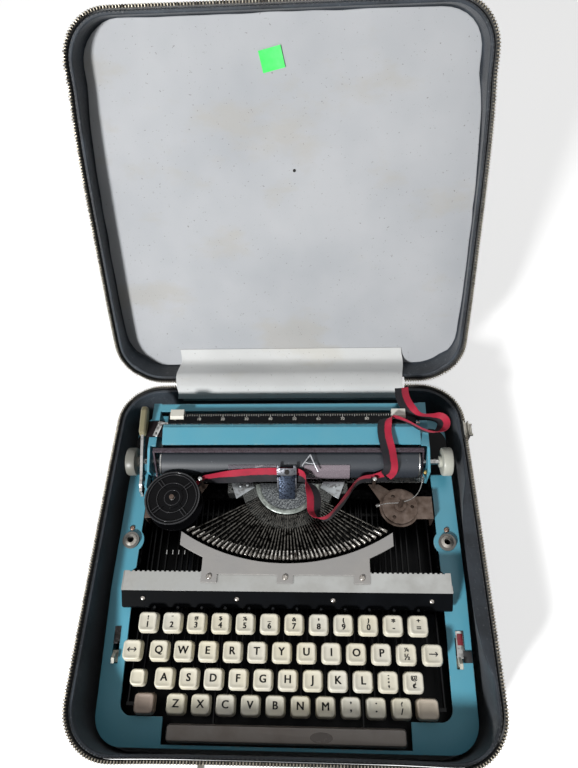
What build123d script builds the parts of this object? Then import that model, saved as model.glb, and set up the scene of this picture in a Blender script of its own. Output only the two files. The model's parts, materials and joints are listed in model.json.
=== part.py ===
"""Zip-round soft case with a slim portable typewriter lying in its base. Millimetres.

+X right, +Y towards the hinge, +Z up. The origin is the centre of the case's underside.
The lid stands open, held back by its taut hinge lining.
"""
import os
from math import atan2, cos, radians, sin, sqrt
from build123d import *

os.makedirs("parts", exist_ok=True)

# ---- the machine sets the size of the case ----
pitch = 19.05               # between the centres of two keys
well_margin = 12.7          # rail beyond six pitches from the middle
rail = 18.5                 # width of the side rails
row_y = (-58.4, -77.8, -96.2, -113.6)
nose = 29.4                 # body in front of the last row's centre
back_y = 103.0              # upright back of the carriage
end_back = 23.5             # end plates behind the upright back
vinyl = 3.0                 # padded vinyl wall
side_room = 7.0
front_room = 4.0
rear_room = 13.0

well_half = 6 * pitch + well_margin     # half width of the opening between the rails
body_half = well_half + rail
body_front = row_y[3] - nose
end_rear = back_y + end_back
body_rear = end_rear + 7.5

# ---- case ----
case_width = 2 * (body_half + side_room + vinyl)
case_depth = 2 * (max(front_room - body_front, body_rear + rear_room) + vinyl)
case_corner = 35.0          # plan corner radius
case_edge = 7.0             # rounded bottom and lid edges
base_height = 66.0
lid_height = 27.0
floor_vinyl = 2.0
board = 4.0                 # floor board with its lining
lid_board = 3.0
tape = 0.8                  # zip tape thickness
tape_sewn = 5.0             # band sewn to the wall
tape_free = 5.0             # band that leans out to the teeth
tape_lean = 1.7
sewn_below_rim = 4.0        # how far under the wall's rim the tape starts to lean
bead = 2.2                  # width of the row of teeth
bead_height = 2.0
zip_gap = 2.0               # between the closed rows of teeth
hinge_half = case_width / 2 - 50.5      # half the length of the fabric hinge
zip_end_gap = 3.0
lid_open = 118.83           # degrees from closed
gap = 0.3                   # running clearance between bodies

half_w = case_width / 2
half_d = case_depth / 2
tape_start = base_height - sewn_below_rim
bead_z = tape_start + tape_free
hinge_z = bead_z + bead_height + zip_gap / 2
bead_mid = tape_lean + tape / 2         # outside the wall's face
zip_out = bead_mid + bead / 2
hinge_y = half_d + zip_out + gap
wall_to_hinge = hinge_z - base_height   # the lid's wall starts as far above the hinge plane
floor_top = floor_vinyl + board

# Frames with the closed side of a tray at z = 0 and its walls along +Z.
lid_up = Vector(0, -cos(radians(lid_open)), sin(radians(lid_open)))     # from hinge to lid front
lid_out = Vector(0, sin(radians(lid_open)), cos(radians(lid_open)))     # outside of the lid
hinge_point = Vector(0, hinge_y, hinge_z)
lid_thick = wall_to_hinge + lid_height
base_plane = Plane.XY
lid_plane = Plane(origin=hinge_point + lid_up * hinge_y + lid_out * lid_thick,
                  x_dir=(1, 0, 0), z_dir=-lid_out)
hinge_side = {"base": 1, "lid": -1}     # which way the hinge lies along each frame's Y

# ---- zip slider and handle ----
slider_y = 104.0
slider_length = 14.0
slider_sheet = 1.0
slider_bridge = 1.2
slider_deep = 3.7           # how far the side plates reach each way from the bridge's middle
pull_length = 22.0
pull_width = 8.0
pull_thick = 1.4
pull_pin = 0.7
pull_hole = 0.85
handle_half = 56.0
handle_drop = 26.0
handle_thick = 9.0
handle_side = 7.0
handle_below_rim = 22.0     # grip line under the rim of the wall that carries it
handle_z = base_height - handle_below_rim
handle_stub = 2.2
ear_radius = 4.0
plate_size = (14.0, 20.0, 1.5)

zip_mid_x = half_w + bead_mid
pull_x = zip_mid_x + bead / 2 + gap + slider_sheet + 1.6
pull_z = hinge_z
handle_y = -half_d - plate_size[2] - gap - handle_thick / 2 - 2

# ---- typewriter body ----
body_corner = 22.0
sheet = 1.5
feet_height = 6.0
feet_radius = 8.0
plate = 1.2                 # bottom sheet
nose_top = 30.0             # top of the body at its front edge
deck_top = 46.0             # top of the side rails
deck_slope_end = -30.0
deck_rear = 71.0            # where the rails step down under the carriage
rear_top = 42.0
well_front = body_front + 21
well_corner = 9.0           # rounded front corners of the opening
nose_lip = 2.5
grommet_y = 10.0
grommet_x = well_half + 7.8
lobe_radius = 11.0
grommet_bore = 5.0
grommet_flange = 7.2
slot_size = (5.0, 22.0)
slot_x = well_half + 8.5
slot_y = -75.0
side_lever_rest = 6.0      # how far in front of the slot's middle the levers rest
frame_out = well_half - 1   # outer face of the steel side plates
frame_sheet = 1.5
frame_rear = body_rear - 16

feet_top = floor_top + feet_height
shell_bottom = feet_top + plate
frame_in = frame_out - frame_sheet
frame_low_top = deck_top - sheet - gap
rail_slope = atan2(deck_top - nose_top, deck_slope_end - body_front)

# ---- keys ----
first_key = 20.4 - well_half            # centre of the first figure key
row_shift = (0.0, 0.5, 0.75, 1.25)      # of a pitch
row_keys = (12, 11, 11, 10)
row_top = (61.4, 54.0, 46.5, 39.1)
row_names = ("number_keys", "top_letter_keys", "home_letter_keys", "bottom_letter_keys")
cap = pitch - 4.05
cap_height = 6.0
cap_taper = 9.0
cap_corner = 2.2
scoop = 0.9
lever_z = 27.0
lever_height = 4.0
lever_thick = 1.2
stem = 2.6
rod_y = 55.0
rod_radius = 1.5
lever_tail = 6.0            # behind the rod
rod_z = lever_z + 0.6
comb_slot = 1.9
key_dip = 3.2               # degrees of key travel
space_x = (38 - well_half, well_half - 35.5)
space_y = (body_front + 4, body_front + 16.5)
space_top = 36.0
space_arm_step = (11.5, 35.5)           # quarter pitches from the first key
space_jog_y = -100.0        # where the arms step aside for the last row's caps
shift_caps = ((19.6 - well_half, 16.0), (well_half - 19, 17.0))
shift_lever_x = well_half - 5
lock_key = (14.1 - well_half, 12.0)
release_key_x = 8.8 - well_half
back_space_x = well_half - 14

# ---- front trim and type basket ----
head_front = -10.0          # foremost type head
trim_half = well_half + 4.5
trim_y = (head_front - 25, head_front - 9.3)
trim_top = 61.6
trim_sheet = 1.2
cover_front_y = trim_y[0] - 11
comb_y = cover_front_y + 6
cover_front_z = 54.0
cover_skirt = 5.0
head_radius = 158.6
basket_y = head_front + head_radius     # centre of the arc that the type heads follow
rest_width = 6.6
rest_top = 56.0
rest_height = 4.0
lip = 1.5
shield_sheet = 1.2
shield_gap = 3.0            # heads to shield
shield_width = 9.5
shield_arm_x = 88.0
shield_body_x = 68.0
shield_front = head_front - 12
leg_x = (-61.5, 0.0, 61.5)
leg_width = 13.0
leg_front = trim_y[1] - 9.2
screw_x = (17.3 - trim_half, -38.3, 38.1, trim_half - 16.2)
segment_y = 57.0            # centre that the type bars point to
segment_inner = 20.0
segment_outer = 40.0
segment_top = 60.0
segment_height = 12.0
tie_width = 8.0             # member under the segment that ties the side plates
slot_root = 27.0
slot_width = 1.4
slot_floor = 54.5
bar_count = 44
bar_fan = 62.5              # degrees each side of straight ahead
bar_root = 28.5
bar_thick = 1.0
bar_height = 3.0
head_size = (3.0, 2.3, 7.0)
screw_radius = 2.2
screw_height = 1.3

horn_front = cover_front_y + trim_sheet
tie_y = segment_y - 1       # its rear face

# ---- ribbon drive ----
spool_x = well_half - 30.5
spool_y = 38.0
spool_radius = 23.6
spool_low = 59.0
spool_top = 75.0
flange = 1.3
core_radius = 9.0
spindle_radius = 2.0
hub_radius = 15.0
hub_thick = 2.0
bracket_z = 52.0
bracket_sheet = 1.2
post_x = spool_x - 21.7
post_y = 56.0
post_radius = 1.5
ribbon_width = 12.0
ribbon_thick = 0.6
ribbon_low = 60.8

# ---- carriage ----
platen_y = 76.0
platen_z = 64.0
platen_radius = 14.0
platen_left = 15 - well_half
platen_right = well_half - 12
shaft_radius = 2.5
knob_radius = 14.5
knob_in = well_half + 4.5
knob_out = body_half - 2.5
carriage_z = 46.6
carriage_sheet = 1.8
end_in = well_half - 6.5
end_sheet = 2.2
end_front = platen_y - 13
end_top = 80.0
end_flange = 7.0
back_top = 84.6
table_front = (platen_y + 9.5, 79.6)
table_rear = (back_y - 3, 84.0)
table_x = (platen_left + 1.5, platen_right + 0.5)
scale_width = 10.0
scale_thick = 1.4
scale_x = (table_x[0] + 4.5, table_x[1] - 3.5)
stop_size = (12.0, 6.7, 3.0)
stop_x = (scale_x[0] + 8, scale_x[1] - 15)
bail_pivot = (66.0, 58.0)
bail_bar = (79.5, 80.2)
bail_x = end_in - 3
bail_thick = 1.4
bail_eye = 3.0
card_x = ((-51.0, -9.0), (15.0, 54.0))
card_thick = 0.5
lever_pivot = (56.0, 62.0)
return_outline = ((-10, -6), (2, -5), (12, 4), (22, 9), (39, 17), (60, 22.5), (61, 27), (38, 22.5),
                  (20, 15), (8, 9), (0, 5.5), (-8, 2))          # seen from the side, from the pivot
grip_outline = ((39, 15.5), (60, 20.6), (63, 24), (62, 28), (58, 29), (38, 25), (36, 20))
return_x = -end_in - 7.5
return_thick = 2.4
rail_y = (back_y - 11, back_y + 5)
loop_outline = ((-13.5, -10.5), (0, -14.5), (9, -12.5), (13.5, -2), (11, 9), (0, 15), (-9, 11.5), (-11.5, 2.5))
loop_mid = (end_in - 2, back_y + 6.5)   # loose turn of ribbon at the right end plate


def save(builder, name):
    builder.part.label = name
    export_step(builder.part, f"parts/{name}.step")


def rim(grow, mode=Mode.ADD):
    """Plan outline of the case, grown outwards all round."""
    RectangleRounded(case_width + 2 * grow, case_depth + 2 * grow, case_corner + grow, mode=mode)


def closed_edges(builder, plane):
    """Edges of the flat face that lies on the plane."""
    return builder.faces().sort_by(Axis(plane.origin, plane.z_dir))[0].edges()


# ---------------------------------------------------------------- case


def tray(plane, height, floor, name):
    """Vinyl tray, closed on the plane, with rounded edges and an open mouth."""
    with BuildPart() as shell:
        with BuildSketch(plane):
            rim(0)
        extrude(amount=height)
        fillet(closed_edges(shell, plane), case_edge)
        with BuildSketch(plane.offset(floor)):
            rim(-vinyl)
        extrude(amount=height, mode=Mode.SUBTRACT)
    save(shell, name)


def lining_board(plane, floor, thick, name):
    """Stiff lined board that fills the bottom of a tray."""
    with BuildPart() as panel:
        with BuildSketch(plane.offset(floor)):
            rim(-vinyl)
        extrude(amount=thick)
    save(panel, name)


def open_back(plane, side):
    """The zip stops on each side of the fabric hinge."""
    with BuildSketch(plane) as back:
        with Locations((0, side * half_d)):
            Rectangle(2 * (hinge_half + zip_end_gap), case_corner)
    extrude(back.sketch, amount=base_height + hinge_z, both=True, mode=Mode.SUBTRACT)


def zip_band(plane, height, side, name):
    """Zip tape: sewn to the wall's face, then leaning out to the teeth."""
    lean_at = plane.offset(height - sewn_below_rim)
    with BuildPart() as band:
        with BuildSketch(lean_at):
            rim(tape)
            rim(0, Mode.SUBTRACT)
        extrude(amount=-tape_sewn)
        with BuildSketch(lean_at):
            rim(tape)
        with BuildSketch(lean_at.offset(tape_free)):
            rim(tape + tape_lean)
        loft(ruled=True)
        with BuildSketch(lean_at):
            rim(0)
        with BuildSketch(lean_at.offset(tape_free)):
            rim(tape_lean)
        loft(ruled=True, mode=Mode.SUBTRACT)
        open_back(plane, side)
    save(band, name)


def zip_teeth(plane, height, side, name):
    """Row of teeth along the tape's free edge."""
    with BuildPart() as row:
        with BuildSketch(plane.offset(height - sewn_below_rim + tape_free)):
            rim(zip_out)
            rim(zip_out - bead, Mode.SUBTRACT)
        extrude(amount=bead_height)
        open_back(plane, side)
    save(row, name)


def case_half(part, plane, height, floor, thick):
    side = hinge_side[part]
    tray(plane, height, floor, f"{part}_shell")
    lining_board(plane, floor, thick, f"{part}_board")
    zip_band(plane, height, side, f"{part}_zip_tape")
    zip_teeth(plane, height, side, f"{part}_zip_teeth")


def on_lid(back, out):
    """Point beside the hinge on the open lid: back from the front edge side, and outwards."""
    point = hinge_point + lid_up * back + lid_out * out
    return (point.Y, point.Z)


def hinge_strip(points, thick, name):
    """Fabric strip across the hinge: its section swept along the hinge line."""
    with BuildPart() as strip:
        with BuildSketch(Plane.YZ.offset(-hinge_half)):
            with BuildLine():
                Polyline(*points)
            trace(line_width=thick)
        extrude(amount=2 * hinge_half)
    save(strip, name)


def hinges():
    outside = half_d + 0.7
    spine_back = hinge_y - half_d - 0.7
    hinge_strip([(outside, tape_start - tape_sewn), (outside, base_height),
                 (hinge_y + 0.2, hinge_z + 0.5), on_lid(spine_back, wall_to_hinge + 0.5),
                 on_lid(spine_back, wall_to_hinge + 12)], 0.8, "hinge_spine")
    inside = half_d - vinyl - 0.7
    lined = hinge_y - inside
    reach = lid_thick - floor_vinyl - lid_board - 0.7
    hinge_strip([(inside, base_height - 14), (inside, base_height + 1.2), (half_d - 0.5, hinge_z + 0.9),
                 on_lid(lined + 0.6, wall_to_hinge - 1), on_lid(lined + 15, reach)], 0.8,
                "hinge_lining")


# ---------------------------------------------------------------- zip slider

def zip_slider():
    """H section that straddles the row of teeth, with ears and a pin for the pull."""
    half = bead / 2 + gap
    ear_y = pull_width / 2 + gap
    with BuildPart() as slider:
        with BuildSketch(Plane.XZ.offset(-slider_y - slider_length / 2)):
            with Locations((zip_mid_x, hinge_z)):
                Rectangle(2 * half, slider_bridge)
                with Locations((-half - slider_sheet / 2, 0), (half + slider_sheet / 2, 0)):
                    Rectangle(slider_sheet, 2 * slider_deep)
        extrude(amount=slider_length)
        for side in (-1, 1):
            with BuildSketch(Plane.XZ.offset(-slider_y - side * (ear_y + 0.6))):
                with Locations((zip_mid_x + half + slider_sheet, pull_z)):
                    Rectangle(3.4, 2.6, align=(Align.MIN, Align.CENTER))
            extrude(amount=0.6, both=True)
        with BuildSketch(Plane.XZ.offset(-slider_y)):
            with Locations((pull_x, pull_z)):
                Circle(pull_pin)
        extrude(amount=ear_y + 0.3, both=True)
    save(slider, "zip_slider")


def zip_pull():
    """Flat tab, narrowed at the top, hanging on the slider's pin."""
    with BuildPart() as tab:
        with BuildSketch(Plane.YZ.offset(pull_x - pull_thick / 2)):
            with Locations((slider_y, pull_z - pull_length / 2 + pull_thick)):
                RectangleRounded(pull_width, pull_length, 2.5)
            with Locations((slider_y, pull_z - pull_length + 6)):
                SlotOverall(5.5, 3.0, rotation=90, mode=Mode.SUBTRACT)
        extrude(amount=pull_thick)
        with BuildSketch(Plane.XZ.offset(-slider_y - pull_width / 2)):
            with Locations((pull_x, pull_z)):
                Circle(pull_hole + 0.55)
        extrude(amount=pull_width)
        with BuildSketch(Plane.XZ.offset(-slider_y - pull_width / 2)):
            with Locations((pull_x, pull_z)):
                Circle(pull_hole)
        extrude(amount=pull_width, mode=Mode.SUBTRACT)
    save(tab, "zip_pull")


# ---------------------------------------------------------------- handle

def handle_mounts():
    """Metal plates on the front wall, each with an ear and a stub that the handle turns on."""
    with BuildPart() as mounts:
        for side in (-1, 1):
            x = side * (handle_half + gap + 2)
            with BuildSketch(Plane.XZ.offset(half_d)):
                with Locations((x, handle_z)):
                    RectangleRounded(plate_size[0], plate_size[1], 3)
            extrude(amount=plate_size[2])
            with BuildSketch(Plane.YZ.offset(x - 2)):
                with Locations((handle_y, handle_z)):
                    Circle(ear_radius)
                with Locations(((handle_y - half_d - plate_size[2]) / 2, handle_z)):
                    Rectangle(abs(handle_y) - half_d - plate_size[2], 2 * ear_radius)
            extrude(amount=4)
            with BuildSketch(Plane.YZ.offset(x)):
                with Locations((handle_y, handle_z)):
                    Circle(handle_stub)
            extrude(amount=-side * (handle_side - 1))
    save(mounts, "handle_mounts")


def carry_handle():
    """Padded grip, hanging: a rounded U with an eye at each end."""
    with BuildPart() as grip:
        with BuildSketch(Plane.XZ.offset(-handle_y - handle_thick / 2)):
            with Locations((0, handle_z + 4.5)):
                RectangleRounded(2 * handle_half, 2 * (handle_drop + 4.5), 12)
                RectangleRounded(2 * (handle_half - handle_side), 2 * handle_drop - 6, 7,
                                 mode=Mode.SUBTRACT)
            with Locations((0, handle_z + 4.5)):
                Rectangle(3 * handle_half, 3 * handle_drop, align=(Align.CENTER, Align.MIN),
                          mode=Mode.SUBTRACT)
        extrude(amount=handle_thick)
        chamfer(grip.edges().filter_by(Axis.Z).group_by(Axis.Z)[-1], 1.5)
        with BuildSketch(Plane.YZ.offset(-handle_half)):
            with Locations((handle_y, handle_z)):
                Circle(handle_stub + 0.1)
        extrude(amount=2 * handle_half, mode=Mode.SUBTRACT)
    save(grip, "carry_handle")


# ---------------------------------------------------------------- typewriter body


def body_outline(inset):
    """Plan outline of the typewriter's casing."""
    with Locations((0, (body_front + body_rear) / 2)):
        RectangleRounded(2 * (body_half - inset), body_rear - body_front - 2 * inset,
                         body_corner - inset)


def body_profile(drop):
    """Side view of the casing's top, lowered by the sheet's thickness for the inside."""
    with BuildLine() as side_view:
        Polyline((body_front - 9, shell_bottom - 9), (body_front - 9, nose_top - drop),
                 (body_front, nose_top - drop), (deck_slope_end, deck_top - drop),
                 (deck_rear - drop, deck_top - drop), (deck_rear - drop, rear_top - drop),
                 (body_rear + 9, rear_top - drop), (body_rear + 9, shell_bottom - 9), close=True)
    make_face(side_view.edges())


def body_block(inset, drop, mode):
    """Solid casing: plan outline cut to the side view."""
    with BuildPart(mode=Mode.PRIVATE) as block:
        with BuildSketch(Plane.XY.offset(shell_bottom)):
            body_outline(inset)
        extrude(amount=deck_top)
        with BuildSketch(Plane.YZ):
            body_profile(drop)
        extrude(amount=body_half + 1, both=True, mode=Mode.INTERSECT)
    add(block.part, mode=mode)


def body_shell():
    """Pressed casing: side rails, a nose with a bay for the space bar, lobes for the cover pegs."""
    with BuildPart() as shell:
        body_block(0, 0, Mode.ADD)
        body_block(sheet, sheet, Mode.SUBTRACT)
        with BuildSketch(Plane.XY.offset(nose_top - 2 * sheet - 8)) as opening:
            with Locations((0, well_front)):
                Rectangle(2 * well_half, frame_rear - well_front, align=(Align.CENTER, Align.MIN))
            fillet(opening.vertices().group_by(Axis.Y)[0], well_corner)
            with Locations((sum(space_x) / 2, body_front + nose_lip)):
                Rectangle(space_x[1] - space_x[0] + 8, well_front - body_front - nose_lip + 2,
                          align=(Align.CENTER, Align.MIN))
            with Locations((-grommet_x, grommet_y), (grommet_x, grommet_y)):
                Circle(lobe_radius, mode=Mode.SUBTRACT)
        extrude(amount=deck_top, mode=Mode.SUBTRACT)
        with BuildSketch(Plane.XY.offset(nose_top)):
            with Locations((-grommet_x, grommet_y), (grommet_x, grommet_y)):
                Circle(grommet_bore)
            with Locations((-slot_x, slot_y), (slot_x, slot_y)):
                Rectangle(*slot_size)
        extrude(amount=deck_top, mode=Mode.SUBTRACT)
    save(shell, "body_shell")


def cover_grommets():
    """Rubber bushes that take the ribbon cover's pegs."""
    with BuildPart() as bushes:
        with BuildSketch(Plane.XY.offset(deck_top)):
            with Locations((-grommet_x, grommet_y), (grommet_x, grommet_y)):
                Circle(grommet_flange)
        extrude(amount=2)
        with BuildSketch(Plane.XY.offset(deck_top)):
            with Locations((-grommet_x, grommet_y), (grommet_x, grommet_y)):
                Circle(grommet_bore)
        extrude(amount=-sheet - 2)
        with Locations((-grommet_x, grommet_y, deck_top + 2), (grommet_x, grommet_y, deck_top + 2)):
            Hole(2.6, depth=12)
    save(bushes, "cover_grommets")


def base_plate():
    """Bottom sheet that the casing and the side plates stand on."""
    with BuildPart() as pan:
        with BuildSketch(Plane.XY.offset(feet_top)):
            body_outline(0)
        extrude(amount=plate)
    save(pan, "base_plate")


def rubber_feet():
    with BuildPart() as feet:
        with BuildSketch(Plane.XY.offset(floor_top)):
            with GridLocations(240, 220, 2, 2):
                Circle(feet_radius)
        extrude(amount=feet_height)
        chamfer(feet.faces().sort_by(Axis.Z)[:4].edges(), 1)
    save(feet, "rubber_feet")


def side_frames():
    """Steel side plates with horns for the front trim, tied by a member under the segment."""
    with BuildPart() as frames:
        with BuildSketch(Plane.YZ.offset(-frame_out)):
            with BuildLine():
                Polyline((horn_front, shell_bottom), (horn_front, cover_front_z - 1),
                         (trim_y[0], trim_top - trim_sheet), (trim_y[1], trim_top - trim_sheet),
                         (trim_y[1] + 8, frame_low_top), (frame_rear, frame_low_top),
                         (frame_rear, shell_bottom), close=True)
            make_face()
        extrude(amount=frame_sheet)
        mirror(about=Plane.YZ)
        with BuildSketch(Plane.YZ.offset(-frame_out)):
            with Locations((rod_y, rod_z)):
                Circle(rod_radius)
        extrude(amount=2 * frame_out, mode=Mode.SUBTRACT)
        with BuildSketch(Plane.XZ.offset(-tie_y)):
            with Locations((0, segment_top - segment_height)):
                Rectangle(2 * frame_in, 5, align=(Align.CENTER, Align.MAX))
        extrude(amount=tie_width)
        for side in (-1, 1):
            with BuildSketch(Plane.XZ.offset(-tie_y)):
                with Locations((side * frame_in, frame_low_top)):
                    Rectangle(frame_sheet, segment_top - segment_height - frame_low_top,
                              align=(Align.MIN if side > 0 else Align.MAX, Align.MIN))
            extrude(amount=tie_width)
    save(frames, "side_frames")


# ---------------------------------------------------------------- front trim and key guide


def trim_bar():
    """Brushed strip over the key levers, with its sawn rear edge."""
    teeth = int(2 * trim_half / 4) - 1
    with BuildPart() as bar:
        with BuildSketch(Plane.XY.offset(trim_top - trim_sheet)):
            with Locations((0, sum(trim_y) / 2)):
                Rectangle(2 * trim_half, trim_y[1] - trim_y[0])
        extrude(amount=trim_sheet)
        with BuildSketch(Plane.XY.offset(trim_top - trim_sheet)):
            with Locations((0, trim_y[1])):
                with GridLocations(4, 1, teeth, 1):
                    Rectangle(2, 1.6)
        extrude(amount=trim_sheet, mode=Mode.SUBTRACT)
    save(bar, "trim_bar")


def lever_cover():
    """Black folded sheet in front of the trim: a slope with the screws and a skirt."""
    low = trim_top - trim_sheet
    with BuildPart() as cover:
        with BuildSketch(Plane.YZ.offset(-trim_half)):
            with BuildLine():
                Polyline((trim_y[0], low), (trim_y[0], trim_top), (cover_front_y, cover_front_z),
                         (cover_front_y, cover_front_z - cover_skirt),
                         (cover_front_y + trim_sheet, cover_front_z - cover_skirt),
                         (cover_front_y + trim_sheet, cover_front_z - 1), close=True)
            make_face()
        extrude(amount=2 * trim_half)
    save(cover, "lever_cover")


def key_xs(row):
    return [first_key + pitch * (row_shift[row] + k) for k in range(row_keys[row])]


def space_arms():
    return [first_key + pitch / 4 * step for step in space_arm_step]


def lever_comb():
    """Slotted guide plate that keeps every key lever upright."""
    slots = [x for row in range(4) for x in key_xs(row)]
    wide = [*space_arms(), -shift_lever_x, shift_lever_x, release_key_x, back_space_x, lock_key[0]]
    with BuildPart() as comb:
        with BuildSketch(Plane.XZ.offset(-comb_y)):
            with Locations((0, shell_bottom)):
                Rectangle(2 * frame_in, lever_z + lever_height + 3 - shell_bottom,
                          align=(Align.CENTER, Align.MIN))
            with Locations(*[(x, lever_z - 7) for x in slots]):
                Rectangle(comb_slot, 20, align=(Align.CENTER, Align.MIN), mode=Mode.SUBTRACT)
            with Locations(*[(x, lever_z - 7) for x in wide]):
                Rectangle(comb_slot + 1.6, 20, align=(Align.CENTER, Align.MIN), mode=Mode.SUBTRACT)
        extrude(amount=1.5)
    save(comb, "lever_comb")


def lever_rod():
    """Rod on which every key lever turns."""
    with BuildPart() as rod:
        with BuildSketch(Plane.YZ.offset(-frame_out)):
            with Locations((rod_y, rod_z)):
                Circle(rod_radius)
        extrude(amount=2 * frame_out)
    save(rod, "lever_rod")


# ---------------------------------------------------------------- keys


def key_cap(x, y, top, wide, deep):
    """Tapered cap with cut corners and a dished top."""
    with BuildSketch(Plane((x, y, top - cap_height))) as foot:
        cut_rectangle(wide, deep, cap_corner)
    extrude(foot.sketch, amount=cap_height, taper=cap_taper)
    with BuildSketch(Plane((x, y, top))) as dish:
        cut_rectangle(wide - 4.4, deep - 4.4, cap_corner)
    extrude(dish.sketch, amount=-scoop, taper=35, mode=Mode.SUBTRACT)


def cut_rectangle(wide, deep, cut):
    """Rectangle with its corners cut, as a rounded key is at this scale."""
    a, b = wide / 2, deep / 2
    with BuildLine() as outline:
        Polyline((a - cut, -b), (a, cut - b), (a, b - cut), (a - cut, b), (cut - a, b), (-a, b - cut),
                 (-a, cut - b), (cut - a, -b), close=True)
    make_face(outline.edges())


def lever_end():
    """Outline of a lever's rear end, from its top edge round the notch that sits on the rod."""
    reach = rod_radius + 0.2
    return [(rod_y + lever_tail, lever_z + lever_height), (rod_y + lever_tail, lever_z - 1),
            (rod_y + reach, lever_z - 1), (rod_y + reach, rod_z + reach), (rod_y - reach, rod_z + reach),
            (rod_y - reach, lever_z)]


def key_lever(x, y, top):
    """Steel lever from the stem under the cap back to its notch on the rod."""
    stem_top = top - cap_height
    steel_plate(x, [(y - stem / 2, lever_z), (y - stem / 2, stem_top), (y + stem / 2, stem_top),
                    (y + stem / 2, lever_z + lever_height), *lever_end()])


def steel_plate(x, outline):
    """Upright steel plate with this outline, centred on x."""
    with BuildSketch(Plane.YZ.offset(x - lever_thick / 2)) as side_view:
        with BuildLine() as edge:
            Polyline(*outline, close=True)
        make_face(edge.edges())
    extrude(side_view.sketch, amount=lever_thick)


def key_row(row):
    with BuildPart() as keys:
        for x in key_xs(row):
            key_cap(x, row_y[row], row_top[row], cap, cap)
            key_lever(x, row_y[row], row_top[row])
    save(keys, row_names[row])


def single_key(name, x, row, wide):
    with BuildPart() as key:
        key_cap(x, row_y[row], row_top[row], wide, min(cap, wide))
        key_lever(x, row_y[row], row_top[row])
    save(key, name)


def shift_keys():
    """Both shift keys on outer levers, tied by a cross bar."""
    with BuildPart() as shift:
        for (x, wide), side in zip(shift_caps, (-1, 1)):
            key_cap(x, row_y[3], row_top[3], wide, cap)
            key_lever(side * shift_lever_x, row_y[3], row_top[3] - 1)
            with BuildSketch(Plane.XZ.offset(-row_y[3] - stem / 2)):
                with Locations((side * shift_lever_x + side * lever_thick / 2, row_top[3] - cap_height)):
                    Rectangle(abs(side * shift_lever_x - x), 2,
                              align=(Align.MAX if side > 0 else Align.MIN, Align.MAX))
            extrude(amount=stem)
            with BuildSketch(Plane.YZ.offset(side * shift_lever_x - lever_thick / 2)):
                with Locations((rod_y - 14, lever_z)):
                    Rectangle(3, 1.5, align=(Align.CENTER, Align.MAX))
            extrude(amount=lever_thick)
        with BuildSketch(Plane.YZ.offset(-shift_lever_x - lever_thick / 2)):
            with Locations((rod_y - 14, lever_z - 1.5)):
                Rectangle(3, 3, align=(Align.CENTER, Align.MAX))
        extrude(amount=2 * shift_lever_x + lever_thick)
    save(shift, "shift_keys")


def space_bar():
    """Long bar with a fluted front edge on two arms."""
    width = space_x[1] - space_x[0]
    deep = space_y[1] - space_y[0]
    middle = ((space_x[0] + space_x[1]) / 2, (space_y[0] + space_y[1]) / 2)
    low = space_top - cap_height
    arm_top = lever_z + lever_height
    with BuildPart() as bar:
        with BuildSketch(Plane.XY.offset(low)):
            with Locations(middle):
                RectangleRounded(width, deep, 2.5)
        extrude(amount=cap_height, taper=8)
        for x in space_arms():
            steel_plate(x, [(space_jog_y, lever_z), (space_jog_y, arm_top), *lever_end()])
            steel_plate(x - pitch / 8, [(middle[1] - stem / 2, lever_z), (middle[1] - stem / 2, low),
                                        (middle[1] + stem / 2, low), (middle[1] + stem / 2, arm_top),
                                        (space_jog_y, arm_top), (space_jog_y, lever_z)])
            with BuildSketch(Plane.XZ.offset(-space_jog_y)):
                with Locations((x + lever_thick / 2, lever_z)):
                    Rectangle(pitch / 8 + lever_thick, lever_height, align=(Align.MAX, Align.MIN))
            extrude(amount=stem / 2)
    save(bar, "space_bar")


# ---------------------------------------------------------------- type basket


def arc_band(inner, outer, half_chord):
    """Plan band between two arcs about the basket's centre, cut off at each side."""
    with Locations((0, basket_y)):
        Circle(outer)
        Circle(inner, mode=Mode.SUBTRACT)
    with Locations((0, basket_y - inner * 0.86)):
        Rectangle(2 * half_chord, inner * 0.6, mode=Mode.INTERSECT)


def type_shield():
    """Painted crescent in front of the type heads, on three legs, with a lip behind it."""
    inner = head_radius + shield_gap
    with BuildPart() as shield:
        with BuildSketch(Plane.XY.offset(trim_top)):
            arc_band(inner, inner + shield_width, shield_arm_x)
            with Locations((0, shield_front)):
                Rectangle(2 * shield_body_x, 30, align=(Align.CENTER, Align.MIN))
            with Locations((0, basket_y)):
                Circle(inner, mode=Mode.SUBTRACT)
            with Locations(*[(x, leg_front) for x in leg_x]):
                Rectangle(leg_width, 10, align=(Align.CENTER, Align.MIN))
        extrude(amount=shield_sheet)
        with BuildSketch(Plane.XY.offset(trim_top)):
            arc_band(inner, inner + lip, shield_arm_x)
        extrude(amount=rest_top - rest_height - trim_top)
    save(shield, "type_shield")


def typebar_rest():
    """Felt-topped arc under the type heads, seated against the shield's lip."""
    outer = head_radius + shield_gap
    with BuildPart() as rest:
        with BuildSketch(Plane.XY.offset(rest_top - rest_height)):
            arc_band(outer - rest_width, outer, shield_arm_x - 3)
        extrude(amount=rest_height)
    save(rest, "typebar_rest")


def bar_angles():
    return [bar_fan * (2 * k / (bar_count - 1) - 1) for k in range(bar_count)]


def bar_reach(angle):
    """Distance from the segment's centre to the arc of the type heads, at this angle."""
    along = basket_y - segment_y
    half = along * cos(radians(angle))
    return sqrt(half * half + head_radius ** 2 - along ** 2) - half


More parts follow.
